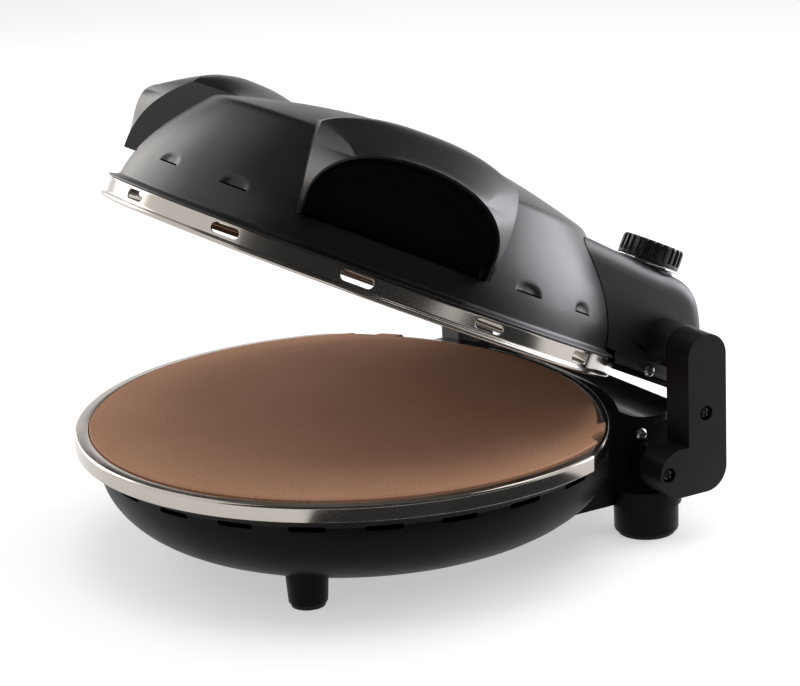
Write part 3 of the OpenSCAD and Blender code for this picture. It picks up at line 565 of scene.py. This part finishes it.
lip_reach, band_reach, band_top, bead_radius = 163.3, 160.5, 13.4, 1.6
bead = np.linspace(-np.pi * 0.62, np.pi * 0.5, 13)
bead_line = np.stack([lip_reach - bead_radius + bead_radius * np.cos(bead),
                      bead_radius + bead_radius * np.sin(bead)], -1)
lower_line = np.concatenate([bead_line, [(161.1, 3.25), (160.7, 3.45), (band_reach, 3.9)]])
upper_line = np.array([(band_reach, 12.4), (160.4, 12.9), (160.1, 13.25), (159.6, band_top),
                       (152.5, band_top)])
slot_level, slot_half, slot_rise = 8.3, 9.5, 3.0
patch_half = math.radians(4.4)
slot_at = np.radians(np.arange(-4, 5) * 29.0)
patch_angles = np.linspace(-patch_half, patch_half, 23)
between = [np.linspace(left + patch_half, right - patch_half, 17)
           for left, right in zip(slot_at, np.append(slot_at[1:], slot_at[0] + 2 * np.pi))]
whole_turn = [np.concatenate([at + patch_angles, gap[1:-1]]) for at, gap in zip(slot_at, between)]
whole_turn = np.concatenate(whole_turn + [[slot_at[0] - patch_half + 2 * np.pi]])
band_line = np.stack([np.full(13, band_reach), np.linspace(3.9, 12.4, 13)], -1)
grids = [turned(lower_line, whole_turn), turned(upper_line, whole_turn)]
grids += [turned(band_line, gap) for gap in between]
# Round each slot the grid runs from the edge of its patch to the slot's rounded outline
along, level = patch_angles * band_reach, band_line[:, 1]
patch_edge = np.concatenate([
    np.stack([np.full(13, along[-1]), level], -1),
    np.stack([along[::-1], np.full(23, level[-1])], -1)[1:],
    np.stack([np.full(13, along[0]), level[::-1]], -1)[1:],
    np.stack([along, np.full(23, level[0])], -1)[1:]])
aim = patch_edge - (0, slot_level)
flat = slot_half - slot_rise
meets_flat = np.abs(aim[:, 0]) * slot_rise <= flat * np.abs(aim[:, 1])
unit = aim / np.linalg.norm(aim, axis=1)[:, None]
to_round = flat * np.abs(unit[:, 0]) + np.sqrt(np.maximum(slot_rise ** 2 - (flat * unit[:, 1]) ** 2, 0))
to_flat = slot_rise / np.maximum(np.abs(unit[:, 1]), 1e-6)
slot_edge = unit * np.where(meets_flat, to_flat, to_round)[:, None] + (0, slot_level)
shares = np.array([0, 0.5, 0.85, 1.0])[None, :, None]
patch = patch_edge[:, None] * (1 - shares) + slot_edge[:, None] * shares
for at in slot_at:
    swing = at + patch[..., 0] / band_reach
    grids.append(np.stack([band_reach * np.sin(swing), -band_reach * np.cos(swing), patch[..., 1]], -1))
lid_rim = shell("lid_rim_rolled", [on_lid(grid) for grid in grids], rim_steel, "lid", crisp=50)
wall = lid_rim.modifiers.new("sheet", "SOLIDIFY")
wall.thickness = 0.7 * MM
wall.offset = -1
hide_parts("lid_steel_ring")


# ---------------------------------------------------------------- lid dome
# The dome is pressed from sheet steel and painted satin black. Its side is steep, its top
# shallow, and the turned foot sits on the steel ring. Small louvres are pressed in its side.
def bend(corners, steps):
    """A cubic curve with four control points, from its first to its last."""
    t = np.linspace(0, 1, steps)[:, None]
    p = np.array(corners, float)
    return ((1 - t) ** 3 * p[0] + 3 * t * (1 - t) ** 2 * p[1] + 3 * t ** 2 * (1 - t) * p[2]
            + t ** 3 * p[3])


def softened(profile, spacing, passes):
    """A profile with evenly spaced points, its corners rounded by averaging neighbours."""
    steps = np.concatenate([[0], np.cumsum(np.linalg.norm(np.diff(profile, axis=0), axis=1))])
    even = np.linspace(0, steps[-1], int(steps[-1] / spacing) + 1)
    points = np.stack([np.interp(even, steps, profile[:, k]) for k in (0, 1)], -1)
    for _ in range(passes):
        points[1:-1] = (points[:-2] + 2 * points[1:-1] + points[2:]) / 4
    return points


dome_profile = np.concatenate([
    [(162.3, 13.4), (162.3, 14.4), (158.2, 15.2), (156, 16.6)],
    bend([(156, 17), (153, 40), (137, 60), (119, 80)], 40)[1:],
    bend([(117, 80.6), (80, 91.5), (40, 100), (0, 100)], 50)])
foot = softened(dome_profile[:12], 0.6, 2)
dome_profile = np.concatenate([foot, softened(dome_profile[11:], 2.2, 2)[1:]])


def dome_reach(w):
    """The dome's radius at a height above the lip."""
    order = np.argsort(dome_profile[:, 1])
    return np.interp(w, dome_profile[order, 1], dome_profile[order, 0])


# Satin black stove paint on pressed steel: a broad soft sheen, with 1.2 mm orange peel and
# slow changes of gloss over some centimetres.
lid_paint, tree, shader = new_material("satin_black_stove_paint", IOR=1.5, Specular_IOR_Level=0.45)
place = in_millimetres(tree)
clouded(tree, shader, place, 60, ("#0e0d0e", "#131214"), (0.30, 0.38), detail=3.0)
grained(tree, shader, place, 1.2, 0.08, 0.00004, detail=1.0)

# Seven louvres are pressed inwards along a line round the side: each is a scoop that is
# deepest at its cut lower edge, and fades out upwards and towards its ends.
louvre_at = np.radians([2.9, 25, 96, 116.5, -25, -96, -116.5])
louvre_half, louvre_depth, louvre_level = 10.8, 1.7, 32.2
louvre_reach = dome_reach(36.0)
steps = np.array([0, 1.5, 3, 4.5, 5.8, 7, 8, 8.8, 9.5, 10.1, 10.8, 11.4])
steps = np.concatenate([-steps[:0:-1], steps]) / louvre_reach
plain = np.linspace(0, 2 * np.pi, 241)
nearest = np.abs((plain[:, None] - louvre_at + np.pi) % (2 * np.pi) - np.pi).min(1)
at_louvres = (louvre_at[:, None] + steps).reshape(-1)
angles = np.sort(np.concatenate([plain[nearest > 12.5 / louvre_reach], at_louvres % (2 * np.pi)]))
angles = np.append(angles, angles[0] + 2 * np.pi)
# Rows of the grid: one exactly at the mouths' sills, two at the louvres' cut edge, and
# closer ones up each scoop. A row's rise up the scoop is 0 to 1.
rise = np.linspace(0, 1, 9)
scoop_level = np.concatenate([[31.5, louvre_level, louvre_level], louvre_level + 0.9 + 6.0 * rise])
scoop_rise = np.concatenate([[1, 1, 0], rise])
below = dome_profile[:, 1] < 30.6
above = dome_profile[:, 1] > louvre_level + 8.4
rows = np.concatenate([dome_profile[below], np.stack([dome_reach(scoop_level), scoop_level], -1),
                       dome_profile[above]])
row_rise = np.concatenate([np.ones(below.sum()), scoop_rise, np.ones(above.sum())])
apart = np.abs((angles[:, None] - louvre_at + np.pi) % (2 * np.pi) - np.pi).min(1) * louvre_reach


def sunk_share(apart, rise):
    """Share of a louvre's depth: 1 - t^2 (3 - 2 t), where t grows from the middle of the
    lower edge to 1 at the outline, a half ellipse."""
    t = np.clip(((apart / louvre_half) ** 2.6 + rise ** 2.2) ** 0.5, 0, 1)
    t = np.clip((t - 0.3) / 0.7, 0, 1)
    return 1 - t ** 2 * (3 - 2 * t)


sunk = rows[None, :, 0] - louvre_depth * sunk_share(apart[:, None], row_rise[None, :])
dome_grid = np.stack([sunk * np.sin(angles)[:, None], -sunk * np.cos(angles)[:, None],
                      np.broadcast_to(rows[:, 1], sunk.shape)], -1)
# The grid leaves out the faces behind the two grip mouths: each opening is a half width to
# both sides of the mouth's middle, from its sill up to the back of its cup
hood_az = math.radians(62.7)
opening_half, opening_back, opening_sill = 54.6, 134.6, 31.4
x, y, w = np.moveaxis(dome_grid, -1, 0)
opened = np.zeros(dome_grid.shape[:2], bool)
for side in (-1, 1):
    out = side * x * math.sin(hood_az) - y * math.cos(hood_az)
    along = side * x * math.cos(hood_az) + y * math.sin(hood_az)
    opened |= (np.abs(along) < opening_half) & (out > opening_back) & (w > opening_sill)
dome = shell("dome_shell", [on_lid(dome_grid)], lid_paint, "lid", crisp=50, left_out=[opened])
wall = dome.modifiers.new("wall", "SOLIDIFY")
wall.thickness = 1.6 * MM
wall.offset = -1

# The slit along each louvre's lower edge is not cut open. Painted shade stands for the unlit
# hollow behind it: a near-black strip at the bottom of the scoop, and a ledge to the cut edge
slit_painted_shade = new_material("painted_slit_shade", Base_Color=colour("#030303"), Roughness=1.0,
                         Specular_IOR_Level=0.0)[0]
strip = np.linspace(-9.4, 9.4, 49)[:, None]
strip_sunk = louvre_depth * sunk_share(np.abs(strip), 0.0) - 0.06
slit_level = louvre_level + np.array([[0.95, 0.05, 0.05]])
slit_reach = dome_reach(slit_level) - np.concatenate([strip_sunk, strip_sunk, 0 * strip], 1)
slits = []
for az in louvre_at:
    swing = az + strip / louvre_reach + 0 * slit_level
    slits.append(on_lid(np.stack([slit_reach * np.sin(swing), -slit_reach * np.cos(swing),
                                  slit_level + 0 * strip], -1)))
slit_faces = shell("louvre_slits", slits, slit_painted_shade, "lid", crisp=60)


# ---------------------------------------------------------------- grip hoods
# A hood swells out of the dome on each side, to lift the lid by. Its mouth leans out
# towards its crown, a facet on each side of the mouth turns back to an upright side wall,
# and its roof runs back over a crest to the dome.
mouth_half, mouth_crown, mouth_sill = 55.3, 78.2, 31.5
foot_reach, crown_lean, lean_low, lean_rise = 166.4, 8.4, 40, 40
dome_meet, least_slope, crease_count, cup_back = (78, 61, 84.2), 0.3, 34, 137.0
roundness = 2.2
crease_share = 38 / mouth_half
crease_turn = math.acos(crease_share ** (roundness / 2))
rows = np.linspace(0, 1, 41)
crown_share = np.linspace(0, 1, 25)
flank_share = np.concatenate([0.6 * rows, np.linspace(0.6, 1, 17)[1:]])


def mouth(half, crown):
    """Half of the mouth's outline as (v, w), from its top down its right side: an arch with
    |v/half|^n + |w/rise|^n = 1 over a straight foot."""
    rise = 0.75 * (crown - mouth_sill)
    base = crown - rise
    v_top = half * crease_share * crown_share
    w_top = base + rise * (1 - (v_top / half) ** roundness) ** (1 / roundness)
    turn = crease_turn * np.clip(1 - flank_share / 0.75, 0, 1)
    v_side = half * np.cos(turn) ** (2 / roundness)
    w_side = base + rise * np.sin(turn) ** (2 / roundness)
    w_side -= (base - mouth_sill) * np.clip((flank_share - 0.75) / 0.25, 0, 1)
    return np.stack([np.concatenate([v_top, v_side[1:]]), np.concatenate([w_top, w_side[1:]])], -1)


def whole(half_outline):
    """Both halves of an outline, from the left foot over the top to the right foot."""
    return np.concatenate([half_outline[:0:-1] * (-1, 1), half_outline])


def at_reach(outline):
    """Outline points (v, w) put out at the mouth's reach from the dome's axis: the foot's,
    and the lean more towards the crown, along t^2 (3 - 2 t)."""
    t = np.clip((outline[:, 1] - lean_low) / lean_rise, 0, 1)
    u = np.sqrt((foot_reach + crown_lean * t ** 2 * (3 - 2 * t)) ** 2 - outline[:, 0] ** 2)
    return np.stack([u, outline[:, 0], outline[:, 1]], -1)


def hood_place(points, side):
    """Hood axes (u outwards, v along the rim, w up) to the lid's, for one side."""
    u, v, w = points[..., 0], points[..., 1], points[..., 2]
    x = u * math.sin(hood_az) + v * math.cos(hood_az)
    y = v * math.sin(hood_az) - u * math.cos(hood_az)
    return on_lid(np.stack([side * x, y, w], -1))


edge = at_reach(mouth(mouth_half, mouth_crown))
front_edge = edge[:len(crown_share)]
flank_edge = edge[len(crown_share) - 1:]
# Corner line between the facet and the side wall, from the mouth's foot up to the roof
corner_line = bend([(156.8, 55.9, mouth_sill), (155.7, 58.8, 52), (144.2, 61.3, 68),
                    (122.3, 58.8, 83.6)], 97)
mouth_u, mouth_v, mouth_w = flank_edge[::-1].T


def facet_at(u, w):
    """The facet at a level: v = vc - k (u - uc) from the corner line (uc, vc). Its slope k
    meets the mouth's edge. Above that edge k goes on falling, to the least slope, as an
    exponential."""
    uc, vc = (np.interp(w, corner_line[:, 2], corner_line[:, k]) for k in (0, 1))
    ue, ve = (np.interp(mouth_w, corner_line[:, 2], corner_line[:, k]) for k in (0, 1))
    edge_slope = (ve - mouth_v) / np.maximum(mouth_u - ue, 0.1)
    last = edge_slope[-1] - least_slope
    fall = (edge_slope[-1] - edge_slope[-4]) / (mouth_w[-1] - mouth_w[-4])
    above = least_slope + last * np.exp(np.minimum(fall * (w - mouth_w[-1]) / last, 0))
    slope = np.where(w > mouth_w[-1], above, np.interp(w, mouth_w, edge_slope))
    return np.stack([u, vc - slope * (u - uc), w], -1)


# Crease between roof and facet, from the mouth's edge back to the corner, then on into
# the dome
crease_uw = bend([front_edge[-1, ::2], (158, 77.6), (143, 78.7), corner_line[-1, ::2]],
                 crease_count)
crease = np.concatenate([facet_at(*crease_uw.T), np.linspace(corner_line[-1], dome_meet, 8)[1:]])
# Ridge line of the roof, from the mouth's top over the crest and down into the dome
ridge_line = np.concatenate([
    bend([(edge[0, 0], mouth_crown), (164, 77.8), (146, 91.5), (122, 96.8)], 24),
    bend([(122, 96.8), (110, 99.4), (98, 93.0), (76, 85.0)], 24)[1:]])
ridge_lead = (edge[0, 0] - crease[0, 0]) * (crease[:, 0] - dome_meet[0])
ridge_u = crease[:, 0] + ridge_lead / (crease[0, 0] - dome_meet[0])
ridge_w = np.interp(ridge_u, ridge_line[::-1, 0], ridge_line[::-1, 1])
arch = (front_edge[:, 2] - front_edge[-1, 2]) / (front_edge[0, 2] - front_edge[-1, 2])
bow = (front_edge[:, 0] - front_edge[-1, 0]) / (front_edge[0, 0] - front_edge[-1, 0])
fuller = np.clip(rows / 0.5, 0, 1)[:, None]
fuller = fuller ** 2 * (3 - 2 * fuller)
arches = arch * (1 - fuller) + (1 - crown_share ** 2.5) ** 0.85 * fuller
roof = np.zeros((len(rows), len(crown_share), 3))
roof[..., 0] = crease[:, None, 0] + (ridge_u - crease[:, 0])[:, None] * bow
roof[..., 1] = crease[:, None, 1] * crown_share
roof[..., 2] = crease[:, None, 2] + (ridge_w - crease[:, 2])[:, None] * arches
roof[0] = front_edge
# Facet: level lines from the mouth's edge, or the crease above it, to the corner line. The
# side wall goes from that line straight back into the dome.
share = np.linspace(0, 1, 25)[:, None]
levels = np.concatenate([mouth_w, crease[1:crease_count, 2]])
facet_u = np.concatenate([mouth_u, crease[1:crease_count, 0]])
corner_u = np.interp(levels, corner_line[:, 2], corner_line[:, 0])
facet = facet_at(facet_u * (1 - share) + corner_u * share,
                 np.broadcast_to(levels, (len(share), len(levels))))
mouth_foot = flank_edge[-1]
dome_line = np.linspace((122, 55.9, mouth_sill), dome_meet, len(corner_line))
share = share[:, :, None]
wall_side = corner_line[None] * (1 - share) + dome_line[None] * share
flip = np.array([1, -1, 1])
sill_reach = dome_reach(mouth_sill) + 0.1


def loop(inset, lift):
    """The mouth's outline with its feet drawn back to the dome, moved in by an inset."""
    outline = at_reach(whole(mouth(mouth_half - inset, mouth_crown - inset)))
    outline[:, 2] = np.maximum(outline[:, 2], mouth_sill + lift)
    half = mouth_half - inset
    heel = (math.sqrt(sill_reach ** 2 - half ** 2), half, mouth_sill + lift)
    return np.concatenate([[np.array(heel) * flip], outline, [heel]])


rim = np.stack([loop(0, 0), loop(1.2, 0)])
# The side wall's foot is closed by a narrow sole
sole = np.stack([np.linspace(mouth_foot, loop(0, 0)[-1], 9),
                 np.linspace(corner_line[0], dome_line[0], 9)])

# The cup behind the mouth: a matte moulding with drafted walls, a sill along the dome, a
# round corner and a flat back
cup = []
for inset, depth, lift in ((1.2, 0, 0), (1.3, 0.25, 0.1), (2.2, 0.8, 0.5), (3.2, 0.93, 1.0),
                           (5.0, 0.985, 2.4), (7.5, 1.0, 4.6)):
    row = loop(inset, lift)
    sill_v = np.linspace(row[-1, 1], row[0, 1], 21)[1:]
    sill = np.stack([np.sqrt(sill_reach ** 2 - sill_v ** 2), sill_v,
                     np.full(20, mouth_sill + lift)], -1)
    row = np.concatenate([row, sill])
    row[:, 0] += (cup_back - row[:, 0]) * depth
    cup.append(row)
cup_edge, back_middle = cup[-1], np.array([cup_back, 0, 52.0])
for k in np.linspace(0, 1, 9)[1:]:
    cup.append(cup_edge * (1 - k) + back_middle * k)
cup = np.stack(cup)

# Its black is the moulding's own, made darker than the lid's paint as painted shade of the deep recess
pocket_black_and_shade, tree, shader = new_material("matte_black_moulding_and_shade", Roughness=0.7,
                                          Specular_IOR_Level=0.12)
place = in_millimetres(tree)
grain = add_node(tree, "ShaderNodeTexNoise", Vector=place.outputs[0], Scale=1 / 0.8, Detail=2.0)
tone = add_node(tree, "ShaderNodeMix", {"data_type": "RGBA"}, _0=grain.outputs["Fac"],
                _6=colour("#070606"), _7=colour("#0b0a0a"))
tree.links.new(tone.outputs[2], shader.inputs["Base Color"])
dents = add_node(tree, "ShaderNodeBump", Strength=0.15, Distance=0.00008, Height=grain.outputs["Fac"])
tree.links.new(dents.outputs[0], shader.inputs["Normal"])

for side, word in ((1, "right"), (-1, "left")):
    grids = [half * turn_over for half in (roof, facet, wall_side, sole) for turn_over in (1, flip)]
    grids = [hood_place(grid, side) for grid in grids + [rim]]
    hood = shell(word + "_grip_hood", grids, lid_paint, "lid", crisp=16)
    pocket = shell(word + "_pocket_cup", [hood_place(cup, side)], pocket_black_and_shade, "lid", crisp=60)
    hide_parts(word + "_grip_pocket")
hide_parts("lid_dome")

# ---------------------------------------------------------------- housing
# The housing behind the dome is one thin moulding with soft ends. It holds the thermostat,
# and turns on the arms' pins by a round boss at each end.
housing_half, end_round = 100.0, 11.0
back_y, back_z, back_reach, back_rise = 146, 108, 50, 47.4
roof_z, underside_z, back_drop = 155.4, 90.0, 16.3
dome_foot, housing_gap = 13.6, 0.6
sweep = np.linspace(math.pi / 2, math.asin(-back_drop / back_rise), 60)
fullness = 1 + 0.06 * np.sin(np.clip(3 * sweep - math.pi / 2, 0, math.pi)) ** 2
housing_line = np.concatenate([
    np.stack([np.linspace(60, back_y, 30), np.linspace(160.4, roof_z, 30)], -1),
    np.stack([back_y + back_reach * np.cos(sweep) * fullness,
              back_z + back_rise * np.sin(sweep) * fullness], -1)[1:],
    [(191.4, underside_z + 0.5), (190.6, underside_z)],
    np.stack([np.linspace(189, 128, 40), np.full(40, underside_z)], -1)])
housing_line = softened(housing_line, 1.2, 4)
along_line = np.gradient(housing_line, axis=0)
along_line /= np.linalg.norm(along_line, axis=1)[:, None]
outwards = np.stack([-along_line[:, 1], along_line[:, 0]], -1) * -1
outwards *= np.sign(np.sum(outwards * (housing_line - (back_y, back_z)), axis=1))[:, None]


def side_reach(z):
    """Radius of what the housing meets at a height, and a gap: the dome's side, and the
    steel ring's lip below the dome's foot."""
    w = z - lip_z
    return np.where(w > dome_foot, dome_reach(np.clip(w, dome_foot, 99)), lip_reach) + housing_gap


def housing_row(x, inset, count=160):
    """The housing's section at a plane across X, moved in by an inset, from where its roof
    leaves the dome to where its underside reaches the steel ring."""
    line = housing_line - outwards * inset
    clear = np.hypot(x, line[:, 0]) - side_reach(line[:, 1])
    out = np.nonzero(clear > 0)[0]
    first, last = out[0], out[-1]
    start = first - clear[first] / (clear[first] - clear[first - 1]) if first > 0 else 0.0
    stop = float(last)
    if last < len(line) - 1:
        stop = last + clear[last] / (clear[last] - clear[last + 1])
    at = np.linspace(start, stop, count)
    steps = np.arange(len(line))
    return np.stack([np.full(count, x), np.interp(at, steps, line[:, 0]),
                     np.interp(at, steps, line[:, 1])], -1)


quarter = np.linspace(0, np.pi / 2, 8)
x_rows = np.concatenate([-housing_half + end_round * (1 - np.sin(quarter[::-1])),
                         np.linspace(-housing_half + end_round, housing_half - end_round, 81)[1:-1],
                         housing_half - end_round * (1 - np.sin(quarter))])
insets = np.concatenate([end_round * (1 - np.cos(quarter[::-1])), np.zeros(79),
                         end_round * (1 - np.cos(quarter))])
skin = np.stack([housing_row(x, inset) for x, inset in zip(x_rows, insets)])
ends = []
for row in (skin[0], skin[-1]):
    # The end face runs from the section's line in to the dome's side
    z = np.interp(np.linspace(0, 1, len(row)), [0, 1], [row[0, 2], row[-1, 2]])
    near = np.stack([row[:, 0], np.sqrt(side_reach(z) ** 2 - row[:, 0] ** 2), z], -1)
    near[0], near[-1] = row[0], row[-1]
    share = np.linspace(0, 1, 12)[None, :, None]
    ends.append(row[:, None] * (1 - share) + near[:, None] * share)


def shut_place(points):
    """A shut lid's millimetres about the bowl's axis, Z from the table, to the frame."""
    return on_lid(points - (0, 0, lip_z))


housing_black, tree, shader = new_material("satin_housing_black", IOR=1.53, Specular_IOR_Level=0.6)
place = in_millimetres(tree)
clouded(tree, shader, place, 42, ("#0f0e10", "#151416"), (0.36, 0.45))
grained(tree, shader, place, 0.6, 0.12, 0.00005)

boss_profile = [(0, 97.0), (14.4, 97.0), (14.4, 117.9), (14.1, 118.5), (13.5, 118.8), (0, 118.8)]
boss = turned(boss_profile, np.linspace(0, 2 * np.pi, 65))
boss_y, boss_z = 161.2, 116.4
bosses = [np.stack([side * boss[..., 2], boss_y + boss[..., 0], boss_z + boss[..., 1]], -1)
          for side in (-1, 1)]
housing = shell("housing_skin", [shut_place(grid) for grid in [skin] + ends + bosses],
                housing_black, "lid", crisp=34)
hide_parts("lid_housing")
clad("housing_cover", base_black)
housing_screw_at = (100.4, 157.4, 96.1)
grids = [shut_place(facing_side(raised_head, side, *housing_screw_at)) for side in (-1, 1)]
housing_screws = shell("housing_screw_heads", grids, zinc_steel, "lid", crisp=30)
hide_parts("housing_screws")

# ---------------------------------------------------------------- knob
# A turned knob of black phenolic with moulded ribs, over a chromed ring, on a round collar
# that rises from the housing's roof.
knob_place = np.array([75, 146.5, 0])
ring_low = roof_z + 1.6
rib_count = 24
turn = np.linspace(0, 2 * np.pi, rib_count * 24 + 1)
phase = np.abs(turn * rib_count / (2 * np.pi) % 1 - 0.5)
groove = np.clip((phase - 0.13) / 0.13, 0, 1)
groove = groove ** 2 * (3 - 2 * groove)
# The knob's profile: radius, height and the depth of a groove between two ribs
knob_rows = np.array([(0, 0, 0), (12, 0, 0), (19.0, 0, 0), (19.5, 0.3, 0), (19.5, 2.2, 0),
                      (19.5, 2.5, 0.5), (19.5, 2.9, 1.3), (19.3, 10.6, 1.3),
                      (19.1, 11.5, 1.2), (18.6, 12.3, 0.8),
                      (17.8, 12.7, 0.25), (16.8, 12.7, 0), (14.5, 12.5, 0), (0, 12.3, 0)])
radius = knob_rows[:, 0] - np.outer(groove, knob_rows[:, 2])
knob = np.stack([radius * np.sin(turn)[:, None], -radius * np.cos(turn)[:, None],
                 np.broadcast_to(knob_rows[:, 1], radius.shape)], -1)
knob += knob_place + (0, 0, ring_low + 1.8)
# Phenolic is hard and fairly glossy, with a fine haze from handling
knob_black, tree, shader = new_material("black_phenolic", IOR=1.6)
place = in_millimetres(tree)
clouded(tree, shader, place, 6, ("#0b0a0a", "#110f0f"), (0.2, 0.32))
knob = shell("ribbed_knob", [shut_place(knob)], knob_black, "knob", crisp=42)
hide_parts("control_knob")

chrome, tree, shader = new_material("bright_chrome", Metallic=1.0, Base_Color=colour("#dcdcdc"))
place = in_millimetres(tree)
haze = add_node(tree, "ShaderNodeTexNoise", Vector=place.outputs[0], Scale=1 / 4, Detail=3.0)
gloss = add_node(tree, "ShaderNodeMapRange", _0=haze.outputs["Fac"], _3=0.05, _4=0.12)
tree.links.new(gloss.outputs[0], shader.inputs["Roughness"])
around = np.linspace(0, 2 * np.pi, 129)
ring_profile = [(15.6, 0), (19.3, 0), (19.7, 0.25), (19.85, 0.9), (19.7, 1.55), (19.3, 1.8),
                (15.6, 1.8), (15.6, 0)]
ring = turned(ring_profile, around) + knob_place + (0, 0, ring_low)
knob_ring = shell("chromed_knob_ring", [shut_place(ring)], chrome, "knob", crisp=40)
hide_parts("knob_ring")
collar_profile = [(3.2, roof_z - 6), (17.4, roof_z - 6), (17.2, roof_z), (17.0, roof_z + 0.9),
                  (16.6, roof_z + 1.2), (3.2, roof_z + 1.2), (3.2, roof_z - 6)]
collar = turned(collar_profile, around) + knob_place
collar = shell("knob_collar_turned", [shut_place(collar)], knob_black, "lid", crisp=40)
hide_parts("knob_collar")
